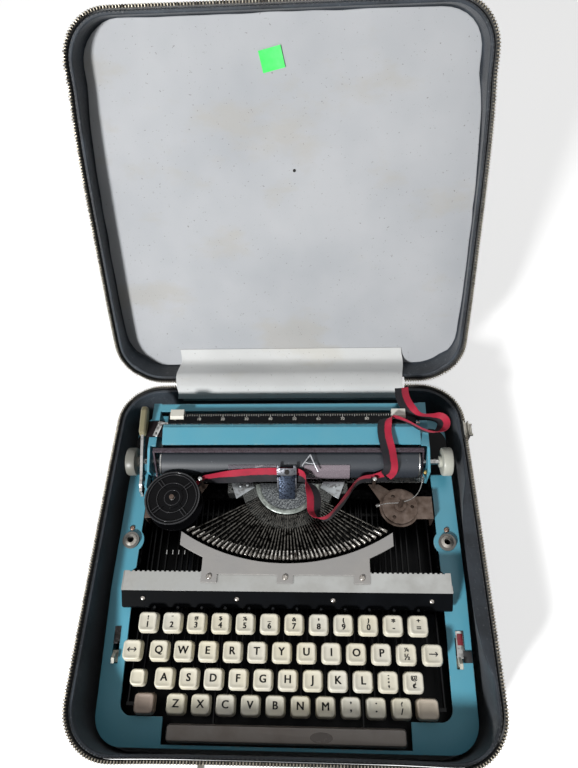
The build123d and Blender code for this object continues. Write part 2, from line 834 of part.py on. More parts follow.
def segment():
    """Slotted half ring that the type bars turn in, with a lug at each side."""
    with BuildPart() as ring:
        with BuildSketch(Plane.XY.offset(segment_top - segment_height)):
            with Locations((0, segment_y)):
                Circle(segment_outer)
                Circle(segment_inner, mode=Mode.SUBTRACT)
            with Locations((0, segment_y - segment_outer)):
                Rectangle(2 * segment_outer, segment_outer, align=(Align.CENTER, Align.MIN),
                          mode=Mode.INTERSECT)
            with Locations((-segment_outer - 3, segment_y), (segment_outer + 3, segment_y)):
                Rectangle(18, 9, align=(Align.CENTER, Align.MAX))
        extrude(amount=segment_height)
        for angle in bar_angles():
            turned = Plane(origin=(0, segment_y, slot_floor), x_dir=(sin(radians(angle)), -cos(radians(angle)), 0))
            with BuildSketch(turned):
                with Locations((slot_root, 0)):
                    Rectangle(segment_outer, slot_width, align=(Align.MIN, Align.CENTER))
            extrude(amount=segment_height, mode=Mode.SUBTRACT)
        with Locations((-segment_outer - 7, segment_y - 5, segment_top), (segment_outer + 7, segment_y - 5, segment_top)):
            Hole(1.6, depth=6)
    save(ring, "segment")


def typebars():
    """One bar and head for each character key, fanned out at rest."""
    head_long, head_wide, head_tall = head_size
    with BuildPart() as bars:
        for angle in bar_angles():
            reach = bar_reach(angle)
            turned = Plane(origin=(0, segment_y, rest_top), x_dir=(sin(radians(angle)), -cos(radians(angle)), 0))
            with BuildSketch(turned):
                with Locations((bar_root, 0)):
                    Rectangle(reach - bar_root, bar_thick, align=(Align.MIN, Align.CENTER))
            extrude(amount=bar_height)
            with BuildSketch(turned):
                with Locations((reach, 0)):
                    Rectangle(head_long, head_wide, align=(Align.MAX, Align.CENTER))
            extrude(amount=head_tall)
    save(bars, "typebars")


# ---------------------------------------------------------------- ribbon drive


def ribbon_brackets():
    """Sheet brackets with a spindle for each spool and a post that guides the ribbon."""
    bracket_flange = 2 * (tie_y - tie_width - spool_y)
    with BuildPart() as brackets:
        for side in (-1, 1):
            with BuildSketch(Plane.XY.offset(bracket_z)):
                with Locations((side * (spool_x + frame_in) / 2, spool_y)):
                    Rectangle(frame_in - spool_x, bracket_flange)
                with Locations((side * spool_x, spool_y)):
                    Circle(hub_radius + 2)
                with BuildLine():
                    Polyline((side * (post_x - 4), post_y + 3), (side * (post_x + 5), post_y + 3),
                             (side * (spool_x + 3), spool_y + 8), (side * (spool_x - 10), spool_y - 4),
                             close=True)
                make_face()
            extrude(amount=bracket_sheet)
            with BuildSketch(Plane.XY.offset(bracket_z + bracket_sheet)):
                with Locations((side * spool_x, spool_y)):
                    Circle(spindle_radius)
            extrude(amount=spool_top + 1.5 - bracket_z)
            with BuildSketch(Plane.XY.offset(bracket_z + bracket_sheet)):
                with Locations((side * post_x, post_y)):
                    Circle(post_radius)
            extrude(amount=ribbon_low + ribbon_width - bracket_z)
            with BuildSketch(Plane.YZ.offset(side * frame_in)):
                with Locations((spool_y, bracket_z + bracket_sheet)):
                    Rectangle(bracket_flange, bracket_z + bracket_sheet - frame_low_top + 8,
                              align=(Align.CENTER, Align.MAX))
            extrude(amount=-side * bracket_sheet)
    save(brackets, "ribbon_brackets")


def spool_hub(x, name, holes):
    """Drive disc under a spool, with its collar on the spindle."""
    with BuildPart() as hub:
        with BuildSketch(Plane.XY.offset(bracket_z + bracket_sheet + gap)):
            with Locations((x, spool_y)):
                Circle(hub_radius)
        extrude(amount=hub_thick)
        with BuildSketch(Plane.XY.offset(bracket_z + bracket_sheet + gap + hub_thick)):
            with Locations((x, spool_y)):
                Circle(5)
        extrude(amount=spool_low - bracket_z - bracket_sheet - gap - hub_thick)
        with BuildSketch(Plane.XY.offset(bracket_z)):
            with Locations((x, spool_y)):
                Circle(spindle_radius + 0.1)
            with Locations((x, spool_y)):
                with PolarLocations(10.5, holes):
                    Circle(1.6)
        extrude(amount=20, mode=Mode.SUBTRACT)
    save(hub, name)


def ribbon_spool():
    """Plastic spool: two flanges, a core full of ribbon and raised ribs on its top."""
    bore = spindle_radius + 0.1
    wound = core_radius + 6
    lower = spool_low + flange
    upper = spool_top - flange
    face = spool_top - 0.7
    with BuildPart() as spool:
        with BuildSketch(Plane((-spool_x, spool_y, 0), x_dir=(1, 0, 0), z_dir=(0, -1, 0))):
            with BuildLine():
                Polyline((bore, spool_low), (spool_radius, spool_low), (spool_radius, lower), (wound, lower),
                         (wound, upper), (spool_radius, upper), (spool_radius, spool_top),
                         (spool_radius - 2.5, spool_top), (spool_radius - 2.5, face), (core_radius, face),
                         (core_radius, spool_top), (bore, spool_top), close=True)
            make_face()
        revolve(axis=Axis((-spool_x, spool_y, 0), (0, 0, 1)))
        with BuildSketch(Plane((-spool_x, spool_y, face))):
            with PolarLocations((core_radius + spool_radius - 2.5) / 2, 4, 45):
                Rectangle(spool_radius - core_radius - 1.5, 1.4)
        extrude(amount=0.7)
    save(spool, "ribbon_spool")


def ribbon_vibrator():
    """Forked guide that lifts the ribbon in front of the printing point."""
    foot_y = segment_y - segment_inner + 6
    fork_y = platen_y - platen_radius - 3.6
    with BuildPart() as guide:
        with BuildSketch(Plane.YZ.offset(-5)):
            with BuildLine():
                Polyline((foot_y, segment_top + gap), (fork_y - 1.2, segment_top + 1.4),
                         (fork_y - 1.2, ribbon_low + ribbon_width - 3), (fork_y, ribbon_low + ribbon_width - 3),
                         (fork_y, segment_top + gap), close=True)
            make_face()
        extrude(amount=10)
        with BuildSketch(Plane.XY.offset(segment_top - segment_height + gap)):
            with Locations((0, segment_y - 5)):
                Rectangle(8, 3)
        extrude(amount=segment_height)
        with BuildSketch(Plane.XZ.offset(-fork_y)):
            with Locations((-7.2, ribbon_low - 2), (7.2, ribbon_low - 2)):
                Rectangle(3, ribbon_width + 4, align=(Align.CENTER, Align.MIN))
            with Locations((0, ribbon_low - 2)):
                Rectangle(14, 4, align=(Align.CENTER, Align.MIN))
        extrude(amount=1.2)
        with BuildSketch(Plane.XZ.offset(-fork_y)):
            with Locations((0, ribbon_low + ribbon_width - 6)):
                Circle(2)
        extrude(amount=20, mode=Mode.SUBTRACT)
    save(guide, "ribbon_vibrator")


# ---------------------------------------------------------------- carriage


def carriage_rail():
    """Fixed rail across the rear that the carriage runs on."""
    low = frame_low_top - 9
    with BuildPart() as rail:
        with BuildSketch(Plane.YZ.offset(-frame_in)):
            with Locations((sum(rail_y) / 2, low)):
                Rectangle(rail_y[1] - rail_y[0], carriage_z - gap - low, align=(Align.CENTER, Align.MIN))
            with Locations((sum(rail_y) / 2, carriage_z - gap)):
                Rectangle(5, 4, align=(Align.CENTER, Align.MAX), mode=Mode.SUBTRACT)
        extrude(amount=2 * frame_in)
    save(rail, "carriage_rail")


def carriage_frame():
    """Folded steel carriage: bed under the platen and an upright back."""
    with BuildPart() as frame:
        with BuildSketch(Plane.XY.offset(carriage_z)):
            with Locations((0, (end_front + back_y) / 2)):
                Rectangle(2 * end_in, back_y - end_front)
        extrude(amount=carriage_sheet)
        with BuildSketch(Plane.XY.offset(carriage_z)):
            with Locations((0, back_y)):
                Rectangle(2 * (end_in + end_sheet - end_flange - gap), carriage_sheet, align=(Align.CENTER, Align.MIN))
        extrude(amount=back_top - carriage_z)
    save(frame, "carriage_frame")


def carriage_ends():
    """Painted end plates joined by the rear strip, with stubs for the bail and the return lever."""
    py, pz = lever_pivot
    outer = -end_in - end_sheet
    with BuildPart() as ends:
        with BuildSketch(Plane.YZ.offset(end_in)):
            with BuildLine():
                Polyline((end_front, carriage_z), (end_front, platen_z + 8), (platen_y - 3, end_top - 4),
                         (platen_y + 6, end_top), (end_rear, end_top), (end_rear, carriage_z), close=True)
            make_face()
        extrude(amount=end_sheet)
        with BuildSketch(Plane.XY.offset(end_top - end_sheet)):
            with Locations((end_in + end_sheet, platen_y + 8)):
                Rectangle(end_flange, end_rear - platen_y - 8, align=(Align.MAX, Align.MIN))
        extrude(amount=end_sheet)
        with BuildSketch(Plane.YZ.offset(end_in)):
            with Locations((platen_y, platen_z)):
                Circle(shaft_radius + 0.2)
        extrude(amount=end_sheet, mode=Mode.SUBTRACT)
        with BuildSketch(Plane.YZ.offset(end_in)):
            with Locations(bail_pivot):
                Circle(2)
        extrude(amount=bail_x - bail_thick - end_in)
        mirror(about=Plane.YZ)
        with BuildSketch(Plane.YZ.offset(-end_in)):
            with BuildLine():
                Polyline((end_rear - 8, end_top - sheet), (end_rear - 8, end_top), (end_rear - 1, end_top),
                         (end_rear, end_top - 1), (end_rear, platen_z), (end_rear - sheet, platen_z),
                         (end_rear - sheet, end_top - sheet), close=True)
            make_face()
        extrude(amount=2 * end_in)
        with BuildSketch(Plane.YZ.offset(outer)):
            with BuildLine():
                Polyline((py - 5, pz - 4), (end_front + 9, pz - 9), (end_front + 9, pz + 4), (py - 5, pz + 4),
                         close=True)
            make_face()
            with Locations((platen_y, platen_z)):
                Circle(shaft_radius + 0.6, mode=Mode.SUBTRACT)
        extrude(amount=-2)
        with BuildSketch(Plane.YZ.offset(outer - 2)):
            with Locations((py, pz)):
                Circle(2)
        extrude(amount=return_x - return_thick / 2 - outer + 1.4)
    save(ends, "carriage_ends")


def paper_table():
    """Painted sheet behind the platen, rising to a fold that rests on the carriage's back."""
    with BuildPart() as table:
        with BuildSketch(Plane.YZ.offset(table_x[0])):
            with BuildLine():
                Polyline((table_front[0] + 6, table_front[1] - 14), (table_front[0], table_front[1] - 1.5),
                         table_front, table_rear, (back_y, table_rear[1] - 0.8),
                         (back_y, table_rear[1] - 6), (back_y - sheet, table_rear[1] - 6),
                         (back_y - sheet, table_rear[1] - 2.4), (table_rear[0], table_rear[1] - sheet),
                         (table_front[0] + sheet, table_front[1] - sheet),
                         (table_front[0] + 6 + sheet, table_front[1] - 14), close=True)
            make_face()
        extrude(amount=table_x[1] - table_x[0])
    save(table, "paper_table")


def margin_scale():
    """Flat black scale on top of the carriage's back."""
    with BuildPart() as scale:
        with BuildSketch(Plane.XY.offset(back_top)):
            with Locations((sum(scale_x) / 2, back_y)):
                Rectangle(scale_x[1] - scale_x[0], scale_width, align=(Align.CENTER, Align.MIN))
        extrude(amount=scale_thick)
    save(scale, "margin_scale")


def margin_stop(x, name):
    """Plastic stop that runs along the scale, hooked over its rear edge."""
    rear = back_y + scale_width + gap
    top = back_top + scale_thick + gap
    with BuildPart() as stop:
        with BuildSketch(Plane.YZ.offset(x - stop_size[0] / 2)):
            with BuildLine():
                Polyline((rear - stop_size[1], top), (rear - stop_size[1], top + 1.6),
                         (rear - stop_size[1] + 2, top + stop_size[2]), (rear + 1.8, top + stop_size[2]),
                         (rear + 1.8, back_top - 1.6), (rear - 1.6, back_top - 1.6),
                         (rear - 1.6, back_top - gap), (rear, back_top - gap), (rear, top), close=True)
            make_face()
        extrude(amount=stop_size[0])
    save(stop, name)


def platen():
    """Rubber roller with a metal ring at each end."""
    with BuildPart() as roller:
        with BuildSketch(Plane.YZ.offset(platen_left)):
            with Locations((platen_y, platen_z)):
                Circle(platen_radius)
        extrude(amount=platen_right - platen_left)
        chamfer(roller.edges().filter_by(GeomType.CIRCLE), 0.8)
        with BuildSketch(Plane.YZ.offset(platen_left)):
            with Locations((platen_y, platen_z)):
                Circle(shaft_radius)
        extrude(amount=platen_right - platen_left, mode=Mode.SUBTRACT)
    save(roller, "platen")


def platen_shaft():
    with BuildPart() as shaft:
        with BuildSketch(Plane.YZ.offset(-knob_out + 4)):
            with Locations((platen_y, platen_z)):
                Circle(shaft_radius)
        extrude(amount=2 * knob_out - 8)
    save(shaft, "platen_shaft")


def platen_knobs():
    """Turned knobs with a crowned rim, a recess inside and a fluted edge left plain."""
    with BuildPart() as knobs:
        with BuildSketch(Plane.XY.offset(platen_z)):
            with BuildLine():
                Polyline((knob_in, platen_y + shaft_radius), (knob_in, platen_y + 7),
                         (knob_in + 2.5, platen_y + 7), (knob_in + 1, platen_y + knob_radius),
                         (knob_out - 2.5, platen_y + knob_radius - 0.6), (knob_out, platen_y + knob_radius - 3.5),
                         (knob_out, platen_y), (knob_out - 4, platen_y),
                         (knob_out - 4, platen_y + shaft_radius), close=True)
            make_face()
        revolve(axis=Axis((0, platen_y, platen_z), (1, 0, 0)))
        mirror(about=Plane.YZ)
    save(knobs, "platen_knobs")


def paper_bail():
    """Flat scaled bar on two arms."""
    (py, pz), (by, bz) = bail_pivot, bail_bar
    with BuildPart() as bail:
        for side in (-1, 1):
            with BuildSketch(Plane.YZ.offset(side * bail_x)):
                with BuildLine():
                    Line((py, pz), (by, bz))
                trace(line_width=1.2 * bail_eye)
                with Locations((py, pz)):
                    Circle(bail_eye)
                    Circle(2.15, mode=Mode.SUBTRACT)
            extrude(amount=-side * bail_thick)
        with BuildSketch(Plane.YZ.offset(-bail_x)):
            with Locations((by, bz)):
                RectangleRounded(4.4, 1.4, 0.6)
        extrude(amount=2 * bail_x)
    save(bail, "paper_bail")


def card_holders():
    """Clear plates curved round the front of the platen, each standing on the carriage's bed."""
    inner = platen_radius + 0.5
    outer = inner + card_thick
    with BuildPart() as cards:
        for low, high in card_x:
            with BuildSketch(Plane.YZ.offset(low)) as section:
                with Locations((platen_y, platen_z)):
                    Circle(outer)
                    Circle(inner, mode=Mode.SUBTRACT)
                    with Locations((0, outer * sin(radians(52)))):
                        Rectangle(3 * outer, 3 * outer, align=(Align.CENTER, Align.MIN), mode=Mode.SUBTRACT)
                    Rectangle(outer, 3 * outer, align=(Align.MIN, Align.CENTER), mode=Mode.SUBTRACT)
                    with Locations((-outer * cos(radians(65)), 0)):
                        Rectangle(outer, outer, align=(Align.MIN, Align.MAX), mode=Mode.SUBTRACT)
                with Locations((platen_y - outer * cos(radians(62)), carriage_z + carriage_sheet)):
                    Rectangle(card_thick + 0.4, 2.6, align=(Align.MAX, Align.MIN))
            extrude(amount=high - low)
    save(cards, "card_holders")


# ---------------------------------------------------------------- carriage return lever


def return_profile():
    """Side view of the folded lever: pivot boss, a blade over the shaft and a raised tail."""
    py, pz = lever_pivot
    with BuildLine() as blade:
        Polyline(*[(py + along, pz + up) for along, up in return_outline], close=True)
    make_face(blade.edges())


def return_lever():
    py, pz = lever_pivot
    with BuildPart() as lever:
        with BuildSketch(Plane.YZ.offset(return_x - return_thick / 2)):
            return_profile()
            with Locations((py, pz)):
                Circle(6)
                Circle(2.15, mode=Mode.SUBTRACT)
        extrude(amount=return_thick)
    save(lever, "return_lever")


def lever_grip():
    """Plastic grip moulded over the lever's tail."""
    py, pz = lever_pivot
    with BuildPart() as grip:
        with BuildSketch(Plane.YZ.offset(return_x - 2.9)):
            with BuildLine():
                Polyline(*[(py + along, pz + up) for along, up in grip_outline], close=True)
            make_face()
        extrude(amount=5.8)
        chamfer(grip.faces().filter_by(Axis.X).edges(), 1.2)
        with BuildSketch(Plane.YZ.offset(return_x - return_thick / 2)):
            return_profile()
        extrude(amount=return_thick, mode=Mode.SUBTRACT)
    save(grip, "lever_grip")


# ---------------------------------------------------------------- side levers and fasteners


def side_lever(side, y, name):
    """Small lever in a slot of the side rail, on a shoe that runs under the rail."""
    rail_z = deck_top - (deck_slope_end - y) * sin(rail_slope) / cos(rail_slope)
    along = Plane(origin=(side * slot_x, y, rail_z), x_dir=(0, cos(rail_slope), sin(rail_slope)), z_dir=(1, 0, 0))
    under = -sheet - gap
    with BuildPart() as lever:
        with BuildSketch(along):
            with BuildLine():
                Polyline((-2.5, under), (-2.5, 2), (-5, 5), (-1, 6), (2.5, 3), (2.5, under), close=True)
            make_face()
        extrude(amount=1.2, both=True)
        with BuildSketch(along):
            with Locations((0, under)):
                Rectangle(9, 1.5, align=(Align.CENTER, Align.MAX))
        extrude(amount=slot_size[0] / 2 + 1.5, both=True)
    save(lever, name)


def trim_screws():
    """Round-headed screws in the shield's legs and in the lever cover."""
    slope = (trim_top - cover_front_z) / (trim_y[0] - cover_front_y)
    with BuildPart() as screws:
        for x in leg_x:
            with BuildSketch(Plane.XY.offset(trim_top + shield_sheet)):
                with Locations((x, leg_front + 4.5)):
                    Circle(screw_radius)
            extrude(amount=screw_height)
        middle = (trim_y[0] + cover_front_y) / 2
        height = (trim_top + cover_front_z) / 2
        for x in screw_x:
            tilted = Plane(origin=(x, middle, height), x_dir=(1, 0, 0), z_dir=(0, -slope, 1))
            with BuildSketch(tilted):
                Circle(screw_radius)
            extrude(amount=screw_height)
    save(screws, "trim_screws")


# ---------------------------------------------------------------- ribbon


def ribbon_front():
    """Ribbon from the left spool past the printing point, slack in a loop to the right post."""
    with BuildPart() as band:
        with BuildSketch(Plane.XY.offset(ribbon_low)):
            with BuildLine():
                Polyline((core_radius + 6.6 - spool_x, spool_y), (1.9 - post_x, post_y - 2),
                         (2.0 - post_x, post_y + 1.4), (-50, 59.5), (0, 60.2),
                         (9, 59.8), (18, 46), (24, 28), (32, 20.5), (41, 26), (50, 42), (60, 55), (post_x - 2.4, 59))
            trace(line_width=ribbon_thick)
        extrude(amount=ribbon_width)
    save(band, "ribbon_front")


def ribbon_back():
    """Slack ribbon over the platen and the paper table, ending in a loose loop."""
    with BuildPart() as band:
        with BuildSketch(Plane.YZ.offset(79)):
            with BuildLine():
                Polyline((59.6, 63.5), (61.2, 73.5), (66.5, 80.5), (75, 83), (84, 84.2), (101, 88.4), (112, 91.2))
            trace(line_width=ribbon_thick)
        extrude(amount=ribbon_width)
        with BuildSketch(Plane.XY.offset(back_top + scale_thick + gap)):
            with BuildLine():
                Polyline(*[(loop_mid[0] + along, loop_mid[1] + back) for along, back in loop_outline])
            trace(line_width=ribbon_thick)
        extrude(amount=8)
    save(band, "ribbon_back")


# ---------------------------------------------------------------- build

case_half("base", base_plane, base_height, floor_vinyl, board)
case_half("lid", lid_plane, lid_height, floor_vinyl, lid_board)
hinges()
zip_slider()
zip_pull()
handle_mounts()
carry_handle()

body_shell()
cover_grommets()
base_plate()
rubber_feet()
side_frames()
trim_bar()
lever_cover()
lever_comb()
lever_rod()
for row in range(4):
    key_row(row)
single_key("margin_release_key", release_key_x, 1, cap)
single_key("back_space_key", back_space_x, 1, cap)
single_key("shift_lock_key", lock_key[0], 2, lock_key[1])
shift_keys()
space_bar()

type_shield()
typebar_rest()
segment()
typebars()
ribbon_brackets()
spool_hub(-spool_x, "left_hub", 1)
spool_hub(spool_x, "right_hub", 3)
ribbon_spool()
ribbon_vibrator()

carriage_rail()
carriage_frame()
carriage_ends()
paper_table()
margin_scale()
margin_stop(stop_x[0], "left_margin_stop")
margin_stop(stop_x[1], "right_margin_stop")
platen()
platen_shaft()
platen_knobs()
paper_bail()
card_holders()
return_lever()
lever_grip()

side_lever(-1, slot_y - side_lever_rest, "touch_lever")
side_lever(1, slot_y - side_lever_rest, "colour_lever")
trim_screws()
ribbon_front()
ribbon_back()
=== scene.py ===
import bmesh
import bpy
import json
import math
import random
from mathutils import Matrix, Vector


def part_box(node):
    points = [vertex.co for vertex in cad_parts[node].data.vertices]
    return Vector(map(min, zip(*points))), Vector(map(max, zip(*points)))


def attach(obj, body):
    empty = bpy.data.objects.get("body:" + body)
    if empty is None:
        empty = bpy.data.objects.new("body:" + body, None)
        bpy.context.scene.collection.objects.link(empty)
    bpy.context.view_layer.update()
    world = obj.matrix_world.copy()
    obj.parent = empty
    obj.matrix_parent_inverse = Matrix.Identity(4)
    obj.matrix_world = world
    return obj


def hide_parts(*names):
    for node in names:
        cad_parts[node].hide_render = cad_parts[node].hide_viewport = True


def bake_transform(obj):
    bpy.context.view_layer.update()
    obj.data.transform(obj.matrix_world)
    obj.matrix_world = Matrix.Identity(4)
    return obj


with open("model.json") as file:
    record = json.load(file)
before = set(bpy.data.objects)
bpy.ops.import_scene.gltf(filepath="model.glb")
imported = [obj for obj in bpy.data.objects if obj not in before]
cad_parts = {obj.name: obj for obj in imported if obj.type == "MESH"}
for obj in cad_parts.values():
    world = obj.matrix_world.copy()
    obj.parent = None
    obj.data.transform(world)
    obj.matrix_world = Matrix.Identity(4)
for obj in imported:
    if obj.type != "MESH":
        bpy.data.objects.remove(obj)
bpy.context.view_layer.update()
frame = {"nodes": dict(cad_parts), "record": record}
nodes = frame["nodes"]


# Colour, material and node helpers


def toLinear(hexColour):
    channels = [int(hexColour[i:i + 2], 16) / 255 for i in (1, 3, 5)]
    return [c / 12.92 if c <= 0.04045 else ((c + 0.055) / 1.055) ** 2.4 for c in channels] + [1]


def addNode(tree, kind, inputs=None, **settings):
    node = tree.nodes.new("ShaderNode" + kind)
    for name, value in settings.items():
        setattr(node, name, value)
    for socket, value in (inputs or {}).items():
        if isinstance(value, bpy.types.NodeSocket):
            tree.links.new(value, node.inputs[socket])
        else:
            node.inputs[socket].default_value = value
    return node


def startMaterial(name, roughness, **sockets):
    # sockets are the shader's own values, the same all over the surface
    material = bpy.data.materials.new(name)
    material.use_nodes = True
    tree = material.node_tree
    shader = tree.nodes["Principled BSDF"]
    shader.inputs["Roughness"].default_value = roughness
    for socket, value in sockets.items():
        shader.inputs[socket.replace("_", " ")].default_value = value
    place = addNode(tree, "TexCoord").outputs["Object"]
    return material, tree, shader, place


def noiseMask(tree, place, size, low, high, detail=4.0, stretch=(1, 1, 1)):
    # 0 to 1 patches of the given size in metres, cut between two levels of the noise
    spread = addNode(tree, "Mapping", {"Vector": place, "Scale": stretch})
    noise = addNode(tree, "TexNoise",
        {"Vector": spread.outputs[0], "Scale": 1 / size, "Detail": detail, "Roughness": 0.6})
    level = {"Value": noise.outputs["Fac"], "From Min": low, "From Max": high}
    return addNode(tree, "MapRange", level).outputs["Result"]


def layered(tree, colour, *coats):
    # colours laid over one another, each as strong as its share where its patches are
    for patches, share, coat in coats:
        if share != 1:
            patches = addNode(tree, "Math", {0: patches, 1: share}, operation="MULTIPLY").outputs[0]
        under, over = (toLinear(shade) if isinstance(shade, str) else shade for shade in (colour, coat))
        colour = addNode(tree, "Mix", {0: patches, 6: under, 7: over}, data_type="RGBA").outputs[2]
    return colour


def finished(tree, shader, colour, patches=None, change=0.0, rough=0.0):
    # the colour, and a roughness that changes where the patches are
    tree.links.new(colour, shader.inputs["Base Color"])
    if patches is not None:
        gloss = addNode(tree, "Math", {0: patches, 1: change, 2: rough}, operation="MULTIPLY_ADD")
        tree.links.new(gloss.outputs[0], shader.inputs["Roughness"])


def relief(tree, shader, height, distance, strength, normal=None):
    # fine relief, over the rounded edges where these are given
    inputs = {"Height": height, "Distance": distance, "Strength": strength}
    if normal:
        inputs["Normal"] = normal
    tree.links.new(addNode(tree, "Bump", inputs).outputs["Normal"], shader.inputs["Normal"])


# Finishes


def enamel(name, look):
    # stoved enamel on pressed steel: half gloss, faint orange peel, cloudy dust and rubbed edges
    material, tree, shader, place = startMaterial(name, look["rough"],
        Specular_IOR_Level=look.get("specular", 0.5))
    soft = addNode(tree, "Bevel", {"Radius": look["edge"]}, samples=4).outputs["Normal"]
    flat = addNode(tree, "NewGeometry").outputs["Normal"]
    bent = addNode(tree, "VectorMath", {0: soft, 1: flat}, operation="DOT_PRODUCT").outputs["Value"]
    edges = addNode(tree, "MapRange", {"Value": bent, "From Min": 0.995, "From Max": 0.9}).outputs["Result"]
    chips = noiseMask(tree, place, 0.004, 0.52, 0.6)
    rub = addNode(tree, "Math", {0: edges, 1: chips}, operation="MULTIPLY").outputs[0]
    dust = noiseMask(tree, place, 0.035, 0.42, 0.78)
    colour = layered(tree, look["colour"], (dust, look["dust"], look["dusty"]),
        (rub, look["wear"], look["worn"]))
    finished(tree, shader, colour, dust, 0.16, look["rough"])
    peel = addNode(tree, "TexNoise", {"Vector": place, "Scale": 1 / 0.0016, "Detail": 1.0})
    relief(tree, shader, peel.outputs["Fac"], 0.00003, 0.35, soft)
    return material


def plated(name, look):
    # plated or bare steel: bright where it is rubbed, dull and brown where oil and dust have dried on it
    material, tree, shader, place = startMaterial(name, look["rough"], Metallic=1.0)
    soft = addNode(tree, "Bevel", {"Radius": 0.0003}, samples=4).outputs["Normal"]
    grime = noiseMask(tree, place, look.get("patch", 0.006), look["from"], look["to"])
    colour = layered(tree, look["colour"], (grime, 1, look["grime"]))
    finished(tree, shader, colour, grime, look.get("dull", 0.35), look["rough"])
    grain = addNode(tree, "Mapping", {"Vector": place, "Scale": look.get("grain", (1, 1, 1))})
    lines = addNode(tree, "TexNoise", {"Vector": grain.outputs[0], "Scale": 1 / 0.0009, "Detail": 2.0})
    relief(tree, shader, lines.outputs["Fac"], 0.00003, look.get("scratch", 0.3), soft)
    return material


def moulded(name, look):
    # injection-moulded plastic: clean colour, yellowed in patches, soft gloss
    material, tree, shader, place = startMaterial(name, look["rough"], Coat_Weight=look.get("coat", 0.0),
        Coat_Roughness=0.2, Specular_IOR_Level=look.get("specular", 0.5))
    soft = addNode(tree, "Bevel", {"Radius": 0.0003}, samples=4).outputs["Normal"]
    age = noiseMask(tree, place, look.get("patch", 0.02), 0.4, 0.7)
    drift = addNode(tree, "TexNoise", {"Vector": place, "Scale": 1 / 0.035, "Detail": 0.0}).outputs["Fac"]
    colour = layered(tree, look["colour"], (age, look.get("ageing", 0.5), look["aged"]),
        (drift, 1, look.get("yellowed", look["aged"])))
    finished(tree, shader, colour, age, 0.12, look["rough"])
    skin = addNode(tree, "TexNoise", {"Vector": place, "Scale": 1 / 0.0012, "Detail": 2.0})
    relief(tree, shader, skin.outputs["Fac"], 0.00002, 0.3, soft)
    return material


def grainedVinyl(name, look):
    # PVC leathercloth: pebbled grain about a millimetre across, lighter patches that are part dry bloom and
    # part painted sheen, and scuffs
    material, tree, shader, place = startMaterial(name, look["rough"], Sheen_Weight=0.08, Sheen_Roughness=0.5,
        Specular_IOR_Level=0.25)
    cells = addNode(tree, "TexVoronoi", {"Vector": place, "Scale": 1 / 0.0011}, feature="DISTANCE_TO_EDGE")
    pebbles = addNode(tree, "MapRange", {"Value": cells.outputs["Distance"], "From Max": 0.25})
    # lighter blue-grey patches: part dry bloom, part painted sheen
    bloomAndSheen = noiseMask(tree, place, 0.05, 0.38, 0.72)
    scuff = noiseMask(tree, place, 0.003, 0.6, 0.7, 6.0)
    colour = layered(tree, look["colour"], (bloomAndSheen, 1, look["bloomAndSheen"]), (scuff, look["scuff"], look["scuffed"]))
    finished(tree, shader, colour, bloomAndSheen, 0.18, look["rough"])
    relief(tree, shader, pebbles.outputs["Result"], 0.00012, 0.6)
    return material


def linedBoard(name, look):
    # cloth-faced board: fine flat texture, yellow water marks, grey rubbed patches, pin-head dirt
    material, tree, shader, place = startMaterial(name, 0.75)
    clouds = noiseMask(tree, place, 0.09, 0.35, 0.68, 3.0)
    stain = noiseMask(tree, place, 0.06, 0.56, 0.64, 6.0, (0.5, 1, 1))
    specks = noiseMask(tree, place, 0.002, 0.69, 0.73, 2.0)
    finished(tree, shader,
        layered(tree, look["colour"], (clouds, 1, look["rubbed"]), (stain, 0.35, look["stain"]),
            (specks, 0.6, look["dirt"])))
    leather = addNode(tree, "TexVoronoi", {"Vector": place, "Scale": 1 / 0.0016}, feature="SMOOTH_F1")
    relief(tree, shader, leather.outputs["Distance"], 0.0001, 0.35)
    return material


def wovenTape(name, look):
    # herringbone tape: two crossed waves of threads, drawn coarse, about 0.7 mm apart, so that they show
    material, tree, shader, place = startMaterial(name, 0.85, Sheen_Weight=0.25)
    waves = []
    for turn in ((0.0, 0.0, 0.785), (0.0, 0.785, 0.0)):
        across = addNode(tree, "Mapping", {"Vector": place, "Rotation": turn})
        wave = addNode(tree, "TexWave", {"Vector": across.outputs[0], "Scale": 1 / 0.0022})
        waves.append(wave.outputs["Fac"])
    lint = noiseMask(tree, place, 0.0025, 0.58, 0.72, 5.0)
    finished(tree, shader, layered(tree, look["colour"], (lint, look["lint"], look["fluff"])))
    relief(tree, shader, addNode(tree, "Math", {0: waves[0], 1: waves[1]}).outputs[0], 0.00015, 0.6)
    return material


def rolledRubber(name, look):
    # ground rubber: dull slate, polished in patches drawn out along x, and light specks
    material, tree, shader, place = startMaterial(name, look["rough"])
    soft = addNode(tree, "Bevel", {"Radius": 0.0006}, samples=4).outputs["Normal"]
    polish = noiseMask(tree, place, 0.05, 0.35, 0.7, 3.0, (0.4, 1, 1))
    specks = noiseMask(tree, place, 0.0012, 0.68, 0.72, 2.0)
    colour = layered(tree, look["colour"], (polish, 1, look["worn"]), (specks, 0.35, look["specks"]))
    finished(tree, shader, colour, polish, -0.12, look["rough"])
    skin = addNode(tree, "TexNoise", {"Vector": place, "Scale": 1 / 0.0008, "Detail": 3.0})
    relief(tree, shader, skin.outputs["Fac"], 0.00003, 0.4, soft)
    return material


def clearSheet(name, look):
    # cellulose sheet: see-through, faintly pink, with fine scratches that scatter light
    material, tree, shader, place = startMaterial(name, 0.12, Alpha=look["alpha"], IOR=1.49)
    scratches = noiseMask(tree, place, 0.0015, 0.55, 0.7, 6.0, (0.2, 1, 1))
    x = addNode(tree, "SeparateXYZ", {0: place}).outputs["X"]
    side = addNode(tree, "MapRange", {"Value": x, "From Min": -0.01, "From Max": 0.01}).outputs["Result"]
    colour = layered(tree, look["colour"], (scratches, 1, look["scratched"]), (side, 0.7, look["paler"]))
    finished(tree, shader, colour, scratches, 0.3, 0.12)
    return material


